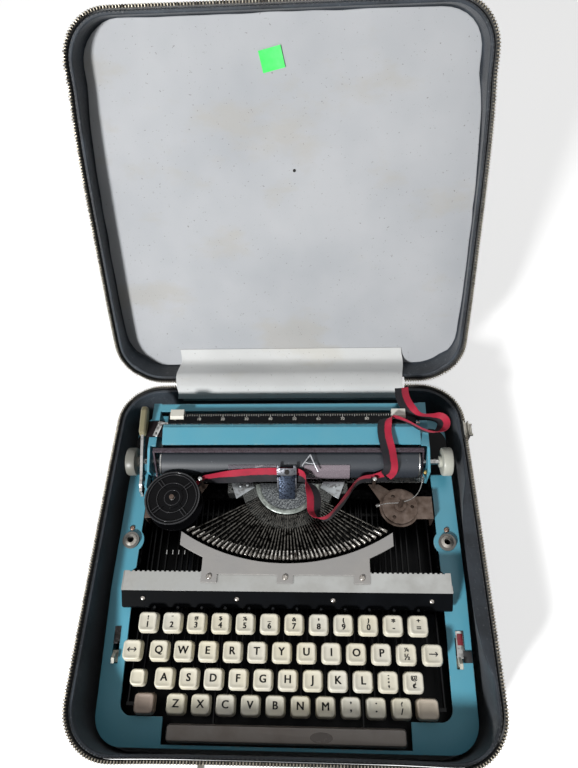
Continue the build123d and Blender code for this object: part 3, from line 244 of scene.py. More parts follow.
def inkedRibbon(name, look):
    # woven nylon tape inked in two bands; the bands follow the strip's own width
    material, tree, shader, place = startMaterial(name, 0.62, Sheen_Weight=0.08, Specular_IOR_Level=0.2)
    across = addNode(tree, "SeparateXYZ", {0: addNode(tree, "UVMap").outputs[0]}).outputs["Y"]
    blur = addNode(tree, "TexNoise", {"Vector": place, "Scale": 1 / 0.002}).outputs["Fac"]
    edge = addNode(tree, "Math", {0: blur, 1: 0.08, 2: -0.04}, operation="MULTIPLY_ADD").outputs[0]
    band = addNode(tree, "Math", {0: across, 1: edge}).outputs[0]
    red = addNode(tree, "MapRange", {"Value": band, "From Min": 0.48, "From Max": 0.54}).outputs["Result"]
    faded = noiseMask(tree, place, 0.008, 0.45, 0.7)
    finished(tree, shader, layered(tree, look["black"], (red, 1, look["red"]), (faded, 0.25, look["faded"])))
    weave = addNode(tree, "TexWave", {"Vector": place, "Scale": 1 / 0.0016}).outputs["Fac"]
    relief(tree, shader, weave, 0.0001, 0.4)
    return material


def mottled(name, look):
    # a plain surface in two shades, the second one in patches
    material, tree, shader, place = startMaterial(name, look["rough"])
    patches = noiseMask(tree, place, look["patch"], look["from"], look["to"])
    finished(tree, shader, layered(tree, look["colour"], (patches, look.get("much", 1), look["second"])))
    return material


blue = {"colour": "#5199AE", "dusty": "#629BA8", "worn": "#B9B3A4", "rough": 0.36, "dust": 0.5, "wear": 0.7,
    "edge": 0.0008}
black = {"colour": "#08090B", "dusty": "#121418", "worn": "#6E6B64", "rough": 0.3, "dust": 0.5, "wear": 0.5,
    "edge": 0.0004, "specular": 0.08}
warmGrey = {"colour": "#9A9896", "dusty": "#A8A49E", "worn": "#C9C6C0", "rough": 0.42, "dust": 0.6,
    "wear": 0.8, "edge": 0.0005}
bright = {"colour": "#A9A9A7", "grime": "#3E3935", "rough": 0.24, "from": 0.44, "to": 0.74, "patch": 0.004}
dull = {"colour": "#5E5D60", "grime": "#1A1715", "rough": 0.42, "from": 0.35, "to": 0.62, "patch": 0.004}
finish = {
    "case_vinyl": grainedVinyl("pvcLeathercloth",
        {"colour": "#1B1F24", "bloomAndSheen": "#3F464E", "scuffed": "#8A8E92", "rough": 0.42, "scuff": 0.25}),
    "handle_vinyl": grainedVinyl("handleLeathercloth",
        {"colour": "#202327", "bloomAndSheen": "#2C3035", "scuffed": "#77797B", "rough": 0.45, "scuff": 0.35}),
    "case_lining": linedBoard("liningCloth",
        {"colour": "#AEB0B3", "rubbed": "#A1A4A8", "stain": "#A59F92", "dirt": "#5E5A52"}),
    "zip_tape": wovenTape("cottonTape", {"colour": "#101113", "fluff": "#7C7C79", "lint": 0.2}),
    "zip_metal": plated("paleBrass",
        {"colour": "#A8A193", "grime": "#3A342C", "rough": 0.38, "from": 0.45, "to": 0.7, "patch": 0.004}),
    "case_hardware": plated("dulledNickel",
        {"colour": "#8B8880", "grime": "#3E3A34", "rough": 0.3, "from": 0.5, "to": 0.75}),
    "body_paint": enamel("tealEnamel", blue),
    "black_paint": enamel("blackEnamel", black),
    "shield_paint": enamel("warmGreyEnamel", warmGrey),
    "frame_steel": plated("oiledSteel", dull),
    "bright_steel": plated("brightPlate", bright),
    "bail_steel": plated("wornStrip",
        {"colour": "#59535A", "grime": "#3A3034", "rough": 0.38, "from": 0.3, "to": 0.7, "patch": 0.0011}),
    "hub_steel": plated("rustySteel",
        {"colour": "#6A5E57", "grime": "#4E4037", "rough": 0.48, "from": 0.3, "to": 0.8, "patch": 0.007,
            "dull": 0.3}),
    "trim_aluminium": plated("brushedAluminium",
        {"colour": "#A3A4A2", "grime": "#989793", "rough": 0.42, "from": 0.4, "to": 0.8, "patch": 0.03,
            "grain": (0.03, 1, 1), "scratch": 0.35}),
    "black_rubber": rolledRubber("mouldedRubber",
        {"colour": "#1A1A1B", "worn": "#28282A", "specks": "#5A5A58", "rough": 0.7}),
    "platen_rubber": rolledRubber("groundRubber",
        {"colour": "#1D2227", "worn": "#2C3138", "specks": "#7C8086", "rough": 0.55}),
    "key_plastic": moulded("creamPlastic",
        {"colour": "#D6D4CC", "aged": "#C9C3B2", "yellowed": "#DAD3BA", "rough": 0.3, "coat": 0.15,
            "ageing": 0.6}),
    "space_plastic": moulded("greyPlastic",
        {"colour": "#9C958F", "aged": "#7E746D", "rough": 0.36, "ageing": 0.7}),
    "knob_plastic": moulded("knobPlastic", {"colour": "#C9C8BC", "aged": "#B4B1A2", "rough": 0.34}),
    "grip_plastic": moulded("olivePlastic", {"colour": "#978F72", "aged": "#6F694F", "rough": 0.33}),
    "stop_plastic": moulded("whitePlastic", {"colour": "#E6E6E0", "aged": "#CFCBBD", "rough": 0.35}),
    "spool_plastic": moulded("blackPhenolic",
        {"colour": "#060607", "aged": "#0E0E10", "rough": 0.2, "specular": 0.07}),
    "ribbon_fabric": inkedRibbon("inkedNylon", {"black": "#16171B", "red": "#A8243B", "faded": "#3A2A32"}),
    "clear_plastic": clearSheet("clearSheet",
        {"colour": "#6E6971", "scratched": "#A9A2A6", "paler": "#A5979F", "alpha": 0.55}),
}
slotOf = {part["node"]: part["material_slot"] for part in frame["record"]["subparts"]}
for name, node in nodes.items():
    node.data.materials.clear()
    node.data.materials.append(finish[slotOf[name]])
# near-black steel for the parts in the well under the keys: blackened steel, and partly painted shade of the
# well
blackSteelAndWellShade = plated("blackSteelAndWellShade",
    {"colour": "#121213", "grime": "#030303", "rough": 0.36, "from": 0.25, "to": 0.55, "patch": 0.003})


def keyMaterial(name, capLow):
    # one key with its lever: cream plastic above this height, and below it blackened steel made near black,
    # partly as painted shade in the well under the keys
    material, tree, shader, place = startMaterial(name, 0.35, Specular_IOR_Level=0.15)
    z = addNode(tree, "SeparateXYZ", {0: place}).outputs["Z"]
    above = addNode(tree, "MapRange", {"Value": z, "From Min": capLow, "From Max": capLow + 0.0002})
    oil = noiseMask(tree, place, 0.003, 0.55, 0.7)
    age = noiseMask(tree, place, 0.02, 0.4, 0.7)
    steel = layered(tree, "#050506", (oil, 0.5, "#17181A"))
    cream = layered(tree, "#D6D4CC", (age, 1, "#C9C3B2"))
    finished(tree, shader, layered(tree, steel, (above.outputs["Result"], 1, cream)))
    soft = addNode(tree, "Bevel", {"Radius": 0.0003}, samples=4).outputs["Normal"]
    relief(tree, shader, oil, 0.00003, 0.2, soft)
    return material


capLows = {"number_keys": 0.055, "top_letter_keys": 0.0476, "home_letter_keys": 0.0401,
    "bottom_letter_keys": 0.0327, "margin_release_key": 0.0476, "back_space_key": 0.0476,
    "shift_lock_key": 0.0401, "shift_keys": 0.0345, "space_bar": 0.1}
for name, capLow in capLows.items():
    nodes[name].data.materials[0] = keyMaterial(name + "Finish", capLow)
# the base plate under the keys is made black, partly as painted shade in the well
nodes["base_plate"].data.materials[0] = finish["black_paint"]
nodes["lever_cover"].data.materials[0] = enamel("flatBlackEnamel",
    {**black, "rough": 0.5, "specular": 0.02, "dusty": "#14171B"})
print("finishes done")

# Camera, light and floor

cameraView = {"place": (0.02934, -0.14265, 0.55241), "right": (0.99860536, 0.02167194, -0.04814204),
    "down": (-0.00665561, -0.85291357, -0.52200971), "lens": 28.15}
right = Vector(cameraView["right"])
down = Vector(cameraView["down"])
cameraData = bpy.data.cameras.new("camera")
cameraData.lens = cameraView["lens"]
cameraData.clip_start = 0.01
camera = bpy.data.objects.new("camera", cameraData)
turned = Matrix((right, -down, -right.cross(down))).transposed().to_4x4()
camera.matrix_world = Matrix.Translation(cameraView["place"]) @ turned
bpy.context.scene.collection.objects.link(camera)
bpy.context.scene.camera = camera

lamps = {
    "keyLamp": {"place": (-0.86, -1.37, 1.01), "size": 0.24, "power": 48, "aim": (0, 0, 0.08)},
    "fillLamp": {"place": (0.3, 0.55, 1.4), "size": 1.0, "power": 2.4, "aim": (0, 0, 0.05)},
}
for name, lamp in lamps.items():
    lampData = bpy.data.lights.new(name, "AREA")
    lampData.energy = lamp["power"]
    lampData.size = lamp["size"]
    lampObject = bpy.data.objects.new(name, lampData)
    lampObject.location = lamp["place"]
    aim = Vector(lamp["aim"]) - Vector(lamp["place"])
    lampObject.rotation_euler = aim.to_track_quat("-Z", "Y").to_euler()
    bpy.context.scene.collection.objects.link(lampObject)

world = bpy.data.worlds.new("studio")
bpy.context.scene.world = world
world.use_nodes = True
sky = world.node_tree
seen = addNode(sky, "LightPath")
shiny = addNode(sky, "Math", {0: seen.outputs["Is Camera Ray"], 1: seen.outputs["Is Glossy Ray"]},
    operation="MAXIMUM")
direct = addNode(sky, "Math", {0: shiny.outputs[0], 1: seen.outputs["Is Transmission Ray"]},
    operation="MAXIMUM")
ambient = 0.08
strength = addNode(sky, "MapRange", {"Value": direct.outputs[0], "To Min": ambient, "To Max": 1.0})
sky.links.new(strength.outputs["Result"], sky.nodes["Background"].inputs["Strength"])
sky.nodes["Background"].inputs["Color"].default_value = (1, 1, 1, 1)

bpy.ops.mesh.primitive_plane_add(size=12)
floor = bpy.context.object
floor.name = "studioFloor"
floorPaint, floorTree, floorShader, _ = startMaterial("palePaper", 0.9)
floorShader.inputs["Base Color"].default_value = toLinear("#FBFBFA")
floor.data.materials.append(floorPaint)
floorSeen = addNode(floorTree, "LightPath").outputs["Is Camera Ray"]
floorGlow = addNode(floorTree, "Math", {0: floorSeen, 1: 0.62}, operation="MULTIPLY").outputs[0]
floorTree.links.new(floorGlow, floorShader.inputs["Emission Strength"])
floorShader.inputs["Emission Color"].default_value = (1, 1, 1, 1)
bpy.context.scene.view_settings.view_transform = "Standard"
print("camera and light done")

# Modelling helpers


def selectOnly(*pieces):
    # leaves edit mode and selects these pieces, the first one active
    if bpy.context.object and bpy.context.object.mode != "OBJECT":
        bpy.ops.object.mode_set(mode="OBJECT")
    bpy.ops.object.select_all(action="DESELECT")
    for piece in pieces:
        piece.select_set(True)
    bpy.context.view_layer.objects.active = pieces[0] if pieces else None


def startPiece(name, kind, turn=(0, 0, 0), **settings):
    # a primitive at its size and place, with everything else deselected
    selectOnly()
    getattr(bpy.ops.mesh, f"primitive_{kind}_add")(rotation=turn, **settings)
    bpy.ops.object.transform_apply()
    piece = bpy.context.object
    piece.name = name
    return piece


sideways = (0, math.pi / 2, 0)


def meshPiece(name, points, faces):
    mesh = bpy.data.meshes.new(name)
    mesh.from_pydata(points, [], faces)
    piece = bpy.data.objects.new(name, mesh)
    bpy.context.scene.collection.objects.link(piece)
    return piece


def bandFaces(rows, wide):
    # four-cornered faces between rows of points, each row this many points wide
    return [(k * wide + j, k * wide + j + 1, (k + 1) * wide + j + 1, (k + 1) * wide + j)
        for k in range(rows - 1) for j in range(wide - 1)]


def pick(kind, test):
    # selects the faces or edges of the active piece whose middle and element pass the test
    bpy.ops.object.mode_set(mode="EDIT")
    bpy.ops.mesh.select_mode(type={"edges": "EDGE", "faces": "FACE"}[kind])
    bpy.ops.mesh.select_all(action="DESELECT")
    mesh = bmesh.from_edit_mesh(bpy.context.object.data)
    for part in getattr(mesh, kind):
        middle = sum((corner.co for corner in part.verts), Vector()) / len(part.verts)
        part.select_set(bool(test(middle, part)))
    bmesh.update_edit_mesh(bpy.context.object.data)


def upright(middle, edge):
    span = edge.verts[1].co - edge.verts[0].co
    return abs(span.z) > 0.9 * span.length


def roundEdges(test, offset, segments):
    # rounds the edges of the active piece that pass the test
    pick("edges", test)
    bpy.ops.mesh.bevel(offset=offset, offset_type="OFFSET", segments=segments)


def modify(piece, kind, **settings):
    selectOnly(piece)
    modifier = piece.modifiers.new(kind.lower(), kind)
    for name, value in settings.items():
        setattr(modifier, name, value)
    bpy.ops.object.modifier_apply(modifier=modifier.name)


def joined(name, pieces):
    selectOnly(*pieces)
    if len(pieces) > 1:
        bpy.ops.object.join()
    pieces[0].name = name
    return pieces[0]


def copied(piece, move=(0, 0, 0), place=None):
    twin = piece.copy()
    twin.data = piece.data.copy()
    bpy.context.scene.collection.objects.link(twin)
    twin.data.transform(place or Matrix.Translation(move))
    return twin


def stretched(piece, middle, scale):
    # scales a piece about this point
    there = Matrix.Translation(middle)
    piece.data.transform(there @ Matrix.Diagonal((*scale, 1)) @ there.inverted())
    return piece


def dressed(piece, body, slot, material=None, instead=(), smooth=35):
    # shading, finish and body of a finished piece, and the nodes that it stands for
    selectOnly(piece)
    bpy.ops.object.shade_smooth_by_angle(angle=math.radians(smooth))
    if material or not piece.data.materials:
        piece.data.materials.clear()
        piece.data.materials.append(material or finish[slot])
    if body:
        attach(piece, body)
    if instead:
        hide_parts(*instead)
    return piece


def fitted(name, pieces, *dress, **more):
    # several pieces made one, then dressed
    return dressed(joined(name, pieces), *dress, **more)


def lettering(text, place, size):
    # flat lettering made a mesh, standing a hair proud of its surface
    selectOnly()
    bpy.ops.object.text_add(location=place)
    words = bpy.context.object
    words.data.body = text
    words.data.size = size
    words.data.align_x = "CENTER"
    words.data.align_y = "CENTER"
    words.data.extrude = 0.00006
    words.data.resolution_u = 3
    bpy.ops.object.convert(target="MESH")
    bpy.ops.object.transform_apply()
    return bpy.context.object


def block(place, size, turn=(0, 0, 0), bevel=0.0):
    piece = startPiece("block", "cube", size=1, location=place, scale=size, turn=turn)
    if bevel:
        modify(piece, "BEVEL", width=bevel, segments=2)
    return piece


def rounds(place, radius, depth, turn=(0, 0, 0), corners=24, bevel=0.0):
    piece = startPiece("rounds", "cylinder", radius=radius, depth=depth, location=place, vertices=corners,
        turn=turn)
    if bevel:
        modify(piece, "BEVEL", width=bevel, segments=2, limit_method="ANGLE", angle_limit=0.7)
    return piece


def wire(name, points, radius, closed=False):
    # round wire or welt along smooth control points
    curve = bpy.data.curves.new(name, "CURVE")
    curve.dimensions = "3D"
    curve.bevel_depth = radius
    curve.bevel_resolution = 2
    curve.resolution_u = 6
    curve.use_fill_caps = True
    spline = curve.splines.new("NURBS")
    spline.points.add(len(points) - 1)
    for knot, point in zip(spline.points, points):
        knot.co = (*point, 1)
    spline.order_u = 3
    spline.use_endpoint_u = not closed
    spline.use_cyclic_u = closed
    piece = bpy.data.objects.new(name, curve)
    bpy.context.scene.collection.objects.link(piece)
    selectOnly(piece)
    bpy.ops.object.convert(target="MESH")
    return bpy.context.object


def smoothLine(points):
    # the points of a smooth line along these control points
    curve = wire("line", points, 0)
    line = [vertex.co.copy() for vertex in curve.data.vertices]
    bpy.data.objects.remove(curve)
    return line


# Case: padded vinyl trays, zip teeth, linings and the fabric hinge

case = {"half": (0.1555, 0.15), "height": 0.066, "corner": 0.035, "edge": 0.007, "wall": 0.003,
    "floor": 0.002, "lidFloor": 0.039, "hinge": (0, 0.1535, 0.07), "open": 118.83, "hingeHalf": 0.105,
    "rim": 0.0011, "upCuts": 7, "alongCuts": 11, "welt": 0.0013, "pitch": 0.0023,
    "tooth": (0.001, 0.0024, 0.002), "teeth": 0.068, "teethOut": 0.0021}
give = {"skin": 0.012, "frontReach": 0.115, "sagMiddle": -0.018, "sagReach": 0.078, "sagFrom": 0.35}
hingePoint = Vector(case["hinge"])
lidPlace = (Matrix.Translation(hingePoint) @ Matrix.Rotation(-math.radians(case["open"]), 4, "X")
    @ Matrix.Rotation(math.pi, 4, "Y") @ Matrix.Translation(-hingePoint))


def outline(out, z, steps=6, gap=0.0):
    # points round the case at this distance outside its wall, from one hinge end to the other
    halfX, halfY = case["half"][0] + out, case["half"][1] + out
    corner = case["corner"] + out
    points = []
    for k, (sideX, sideY) in enumerate(((-1, 1), (-1, -1), (1, -1), (1, 1))):
        for step in range(steps + 1):
            angle = math.radians(90 + 90 * k + 90 * step / steps)
            points.append((sideX * (halfX - corner) + corner * math.cos(angle),
                sideY * (halfY - corner) + corner * math.sin(angle), z))
    if gap:
        points = [(-gap, halfY, z), *points, (gap, halfY, z)]
    return points


def softWall(piece, low, lean):
    # soft walls give way between the corners: left, right and front in lean are how far they go out at the
    # rim and at the floor, and sag is how far the right wall's inner skin sinks inwards near its rim
    high = case["height"]
    halfX, halfY = case["half"]
    for vertex in piece.data.vertices:
        x, y, z = vertex.co
        rise = min(max((z - low) / (high - low), 0), 1)
        side = max(0.0, 1 - (abs(y + lean["middle"]) / lean["reach"]) ** 4)
        front = max(0.0, 1 - (abs(x) / give["frontReach"]) ** 4)
        rim, foot = lean["left" if x < 0 else "right"]
        if abs(x) > halfX - give["skin"]:
            vertex.co.x += math.copysign((rim * rise + foot * (1 - rise)) * side, x)
        if y < give["skin"] - halfY:
            vertex.co.y -= (lean["front"][0] * rise + lean["front"][1] * (1 - rise)) * front
        if lean["sag"] and halfX - give["skin"] < x < halfX - case["wall"] * 0.55:
            loose = max(0.0, 1 - (abs(y - give["sagMiddle"]) / give["sagReach"]) ** 3)
            risen = max(0.0, (rise - give["sagFrom"]) / (1 - give["sagFrom"]))
            vertex.co.x -= lean["sag"] * loose * risen ** 1.5


def paddedTray(name, low, lean):
    high = case["height"]
    halfX, halfY = case["half"]
    tray = startPiece(name, "cube", size=1, location=(0, 0, (low + high) / 2),
        scale=(2 * halfX, 2 * halfY, high - low))
    roundEdges(upright, case["corner"], 10)
    pick("faces", lambda middle, face: middle.z > high - 1e-5)
    bpy.ops.mesh.delete(type="FACE")
    roundEdges(lambda middle, edge: middle.z < low + 1e-5 and not edge.is_boundary, case["edge"], 4)
    pick("edges", lambda middle, edge: abs(edge.verts[1].co.z - edge.verts[0].co.z) > 0.01)
    bpy.ops.mesh.subdivide(number_cuts=case["upCuts"])
    pick("edges", lambda middle, edge: edge.calc_length() > 0.1)
    bpy.ops.mesh.subdivide(number_cuts=case["alongCuts"])
    modify(tray, "SOLIDIFY", thickness=case["wall"], offset=-1, use_even_offset=True)
    modify(tray, "BEVEL", width=case["rim"], segments=3, limit_method="ANGLE", angle_limit=1.0)
    softWall(tray, low, lean)
    return tray


baseLean = {"left": (-0.0006, 0.0), "right": (-0.0006, 0.0), "front": (-0.0012, 0.0), "middle": 0.018,
    "reach": 0.125, "sag": 0.009}
lidLean = {"left": (0.0028, 0.008), "right": (0.0028, 0.0068), "front": (0.0, 0.0), "middle": -0.028,
    "reach": 0.128, "sag": 0}
baseTray = paddedTray("baseTray", 0.0, baseLean)
lidTray = paddedTray("lidTray", case["lidFloor"], lidLean)
lidTray.data.transform(lidPlace)
dressed(baseTray, "case_base", "case_vinyl", instead=["base_shell"])
dressed(lidTray, "lid", "case_vinyl", instead=["lid_shell"])
halves = {"base": {"body": "case_base", "low": 0.0, "lean": baseLean, "place": Matrix.Identity(4)},
    "lid": {"body": "lid", "low": case["lidFloor"], "lean": lidLean, "place": lidPlace}}
for name, half in halves.items():
    welt = wire(name + "Welt", outline(-0.0012, half["low"] + 0.0022), case["welt"], closed=True)
    softWall(welt, half["low"], half["lean"])
    welt.data.transform(half["place"])
    dressed(welt, half["body"], "case_vinyl")

# zip tape: sewn to the wall's face, then leaning out to the teeth, with a row of stitches on it
tape = {"levels": ((0.0004, 0.057), (0.0005, 0.06), (0.0006, 0.0622), (0.0014, 0.065), (0.0021, 0.0672)),
    "thick": 0.0009, "cut": 0.01, "stitch": 0.0032, "stitchHalf": (0.0009, 0.00022, 0.0003)}
tapeGap = case["hingeHalf"] + 0.003
thread = mottled("waxedThread",
    {"colour": "#2B2C2E", "second": "#55575A", "rough": 0.6, "from": 0.4, "to": 0.7, "patch": 0.002})
for name, half in halves.items():
    rungs = []
    for out, z in tape["levels"]:
        level = [Vector(point) for point in outline(out, z, steps=10, gap=tapeGap)]
        spread = level[:1]
        for a, b in zip(level, level[1:]):
            cuts = max(1, round((b - a).length / tape["cut"]))
            spread += [a.lerp(b, cut / cuts) for cut in range(1, cuts + 1)]
        rungs.append(spread)
    count = min(len(rung) for rung in rungs)
    points = [point for rung in rungs for point in rung[:count]]
    band = meshPiece(name + "ZipTape", points, bandFaces(len(rungs), count))
    softWall(band, half["low"], half["lean"])
    modify(band, "SOLIDIFY", thickness=tape["thick"], offset=1)
    band.data.transform(half["place"])
    dressed(band, half["body"], "zip_tape", instead=[name + "_zip_tape"])

# one tooth is arrayed along the tape's edge
railCurve = bpy.data.curves.new("toothPath", "CURVE")
railCurve.dimensions = "3D"
spline = railCurve.splines.new("POLY")
pathPoints = outline(case["teethOut"], case["teeth"], steps=10, gap=tapeGap)
spline.points.add(len(pathPoints) - 1)
for knot, point in zip(spline.points, pathPoints):
    knot.co = (*point, 1)
toothPath = bpy.data.objects.new("toothPath", railCurve)
bpy.context.scene.collection.objects.link(toothPath)
for name, half in halves.items():
    tooth = startPiece(name + "Teeth", "cube", size=1, location=(case["pitch"] / 2, 0, 0),
        scale=case["tooth"])
    pick("faces", lambda middle, face: face.normal.z > 0.9)
    bpy.ops.mesh.inset(thickness=0.0003)
    bpy.ops.transform.translate(value=(0, 0, 0.00035))
    modify(tooth, "ARRAY", use_relative_offset=False, use_constant_offset=True,
        constant_offset_displace=(case["pitch"], 0, 0), fit_type="FIT_CURVE", curve=toothPath)
    modify(tooth, "CURVE", object=toothPath, deform_axis="POS_X")
    softWall(tooth, half["low"], half["lean"])
    tooth.data.transform(half["place"])
    dressed(tooth, half["body"], "zip_metal", instead=[name + "_zip_teeth"])
bpy.data.objects.remove(toothPath)
print("case and zip done")

# Linings, hinge flap and sticker

# cloth-faced boards with an uneven cut edge
lining = {"inset": 0.0036, "cuts": 35, "trim": 0.0012, "hole": (0.009, 0.1875), "holeSize": (0.0013, 0.0004)}
for name, key, thick, wobble, seed in (("floorLining", "base", 0.004, 0.0002, 3),
        ("lidLining", "lid", 0.003, 0.0005, 5)):
    half = halves[key]
    random.seed(seed)
    waves = [(random.uniform(6, 30), random.uniform(0, 6.28), random.uniform(0.2, 1)) for _ in range(7)]
    wide, deep = (2 * (reach - lining["inset"]) for reach in case["half"])
    sheet = startPiece(name, "cube", size=1, location=(0, 0, half["low"] + case["floor"] + thick / 2),
        scale=(wide, deep, thick))
    roundEdges(upright, case["corner"] - lining["inset"], 8)
    pick("edges", lambda middle, edge: edge.calc_length() > 0.1)
    bpy.ops.mesh.subdivide(number_cuts=lining["cuts"])
    pick("faces", lambda middle, face: face.normal.z > 0.9)
    bpy.ops.mesh.inset(thickness=lining["trim"])
    bpy.ops.object.mode_set(mode="OBJECT")
    for vertex in sheet.data.vertices:
        x, y, _ = vertex.co
        angle = math.atan2(y, x)
        ragged = sum(size * math.sin(count * angle + phase) for count, phase, size in waves) / 3
        vertex.co.x -= math.copysign(wobble * (1 + ragged), x) * (abs(x) > 0.1)
        vertex.co.y -= math.copysign(wobble * (1 + ragged), y) * (abs(y) > 0.1)
    softWall(sheet, half["low"], half["lean"])
    modify(sheet, "BEVEL", width=0.0005, segments=2, limit_method="ANGLE", angle_limit=0.8)
    sheet.data.transform(half["place"])
    dressed(sheet, half["body"], "case_lining", instead=[key + "_board"])


def onLid(x, back, out):
    # point on the open lid: x, distance from the hinge along the lid, height above the closed side
    return lidPlace @ Vector((-x, case["hinge"][1] - back, case["lidFloor"] + out))


def hingeStrip(name, section, thick, halfWidth, slot, node, sag):
    # cloth across the hinge, its section drawn through these points and sagging between its ends
    rows = 26
    line = smoothLine([(0, *point) for point in section])
    verts = []
    for k in range(rows + 1):
        x = halfWidth * (2 * k / rows - 1)
        for j, point in enumerate(line):
            part = j / (len(line) - 1)
            dip = sag * math.sin(math.pi * part) * (0.5 + 0.5 * math.sin(5.1 * x / halfWidth + 4 * part))
            fray = 0.0012 * math.sin(9 * part + k) if k in (0, rows) else 0
            verts.append((x + fray, point.y - dip, point.z))
    strip = meshPiece(name, verts, bandFaces(rows + 1, len(line)))
    modify(strip, "SOLIDIFY", thickness=thick, offset=0)
    dressed(strip, None, slot, instead=[node])
    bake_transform(strip)
    return strip


def lidYZ(back, out):
    point = onLid(0, back, out)
    return point.y, point.z


hingeStrip("hingeSpine",
    [(0.1507, 0.057), (0.1507, 0.064), (0.1512, 0.068), (0.1535, 0.07), lidYZ(0.002, 0.028),
        lidYZ(0.0028, 0.024), lidYZ(0.0028, 0.015)], 0.0009, case["hingeHalf"], "zip_tape", "hinge_spine",
    0.0)
flap = hingeStrip("hingeLining",
    [(0.1425, 0.0615), (0.1438, 0.0645), (0.1462, 0.0682), (0.149, 0.0725), lidYZ(0.0078, 0.0278),
        lidYZ(0.0092, 0.019), lidYZ(0.0115, 0.0095), lidYZ(0.017, 0.0062), lidYZ(0.024, 0.0054)], 0.0005,
    case["hingeHalf"] + 0.0015, "case_lining", "hinge_lining", 0.0003)
# the flap's cloth is lighter than the lining's: painted light, as the flap faces away from the lamps
flap.data.materials[0] = linedBoard("lightenedFlapCloth",
    {"colour": "#CDCECD", "rubbed": "#BFC0BF", "stain": "#BBB6A8", "dirt": "#6B665C"})

# blank sticker near the lining's top edge, turned a few degrees, its corners lifting, and a pin hole
sticker = {"x": -0.006, "back": 0.269, "out": 0.0052, "turn": 12, "size": (0.0175, 0.0155), "lift": 0.0003,
    "curl": 5.4}
lidTurn = lidPlace.to_3x3().to_4x4()
lotSticker = startPiece("blankSticker", "grid", x_subdivisions=8, y_subdivisions=6, size=1)
lotSticker.data.transform(Matrix.Diagonal((*sticker["size"], 1, 1)))
for vertex in lotSticker.data.vertices:
    vertex.co.z = sticker["lift"] + sticker["curl"] * (vertex.co.x ** 2 + vertex.co.y ** 2)
modify(lotSticker, "SOLIDIFY", thickness=0.0002, offset=1)
lotSticker.data.transform(Matrix.Translation(onLid(sticker["x"], sticker["back"], sticker["out"])) @ lidTurn
    @ Matrix.Rotation(math.radians(sticker["turn"]), 4, "Z"))
stickerPaper = mottled("fluorescentPaper",
    {"colour": "#35E05C", "second": "#62EA80", "rough": 0.55, "from": 0.4, "to": 0.7, "patch": 0.004,
        "much": 0.4})
dressed(lotSticker, "lid", "case_lining", stickerPaper)
pinHole = rounds((0, 0, 0), *lining["holeSize"], corners=16)
pinHole.name = "liningHole"
pinHole.data.transform(Matrix.Translation(onLid(*lining["hole"], 0.005)) @ lidTurn)
# near-black colour painted as the shade inside holes and slots
holeShade = mottled("holeShade",
    {"colour": "#0C0C0D", "second": "#241F1B", "rough": 0.9, "from": 0.4, "to": 0.6, "patch": 0.001})
dressed(pinHole, "lid", "case_lining", holeShade)
print("linings and hinge done")

# Keys: moulded caps with a raised rim and a round dish, and printed legends

keys = {"pitch": 0.01905, "first": -0.1066, "shift": (0.0, 0.5, 0.75, 1.25),
    "y": (-0.0584, -0.0778, -0.0962, -0.1136), "top": (0.0614, 0.054, 0.0465, 0.0391),
    "count": (12, 11, 11, 10), "cap": 0.0156, "height": 0.0066, "narrow": 0.885, "corner": 0.0034,
    "rim": 0.0007, "rise": 0.0006,
    "dish": ((0.94, 0), (0.92, 0.00014), (0.88, 0.00024), (0.84, 0.00014), (0.8, 0.00005)), "letter": 0.0078,
    "figure": 0.0059, "mark": 0.005, "markUp": 0.003, "figureDown": 0.0023}
arrow = {"shaft": (0.0062, 0.0007, 0.0001), "head": (0.0023, 0.0007, 0.0001), "out": 0.0026, "aside": 0.0007,
    "turn": 0.75}
widths = {"lock": 0.0126, "letter": 0.0156, "leftShift": 0.0166, "rightShift": 0.0176}
rows = ("number_keys", "top_letter_keys", "home_letter_keys", "bottom_letter_keys")
legends = ([("!", "1"), ('"', "2"), ("#", "3"), ("$", "4"), ("%", "5"), ("_", "6"), ("&", "7"), ("'", "8"),
    ("(", "9"), (")", "0"), ("*", "-"), ("+", "=")], list("QWERTYUIOP") + [("¼", "½")],
    list("ASDFGHJKL") + [(":", ";"), ("@", "¢")], list("ZXCVBNM") + [(",", ","), (".", "."), ("?", "/")])
ink = mottled("pressedInk",
    {"colour": "#131213", "second": "#3A3734", "rough": 0.5, "from": 0.55, "to": 0.75, "patch": 0.001})


def keyCap(width, depth):
    # tapered cap at the origin, its top at z = 0
    height = keys["height"]
    cap = startPiece("keyCap", "cube", size=1, location=(0, 0, -height / 2), scale=(width, depth, height))
    roundEdges(upright, keys["corner"], 4)
    pick("faces", lambda middle, face: face.normal.z > 0.9)
    bpy.ops.transform.resize(value=(keys["narrow"], keys["narrow"], 1), center_override=(0, 0, 0))
    pick("faces", lambda middle, face: face.normal.z < -0.9)
    bpy.ops.mesh.delete(type="ONLY_FACE")
    roundEdges(lambda middle, edge: middle.z > -1e-5, keys["rim"], 3)
    pick("faces", lambda middle, face: face.normal.z > 0.99)
    for shrink, drop in keys["dish"]:
        bpy.ops.mesh.inset(thickness=0)
        bpy.ops.transform.resize(value=(shrink, shrink, 1), center_override=(0, 0, 0))
        bpy.ops.transform.translate(value=(0, 0, -drop))
    bpy.ops.object.mode_set(mode="OBJECT")
    return cap


caps = {name: keyCap(width, min(width, keys["cap"])) for name, width in widths.items()}
dishDeep = sum(drop for _, drop in keys["dish"])


def capAt(name, x, row):
    return copied(caps[name], (x, keys["y"][row], keys["top"][row] + keys["rise"]))


bold = {"apart": 0.00022, "fineApart": 0.00013, "up": 0.00008, "points": 1.35}


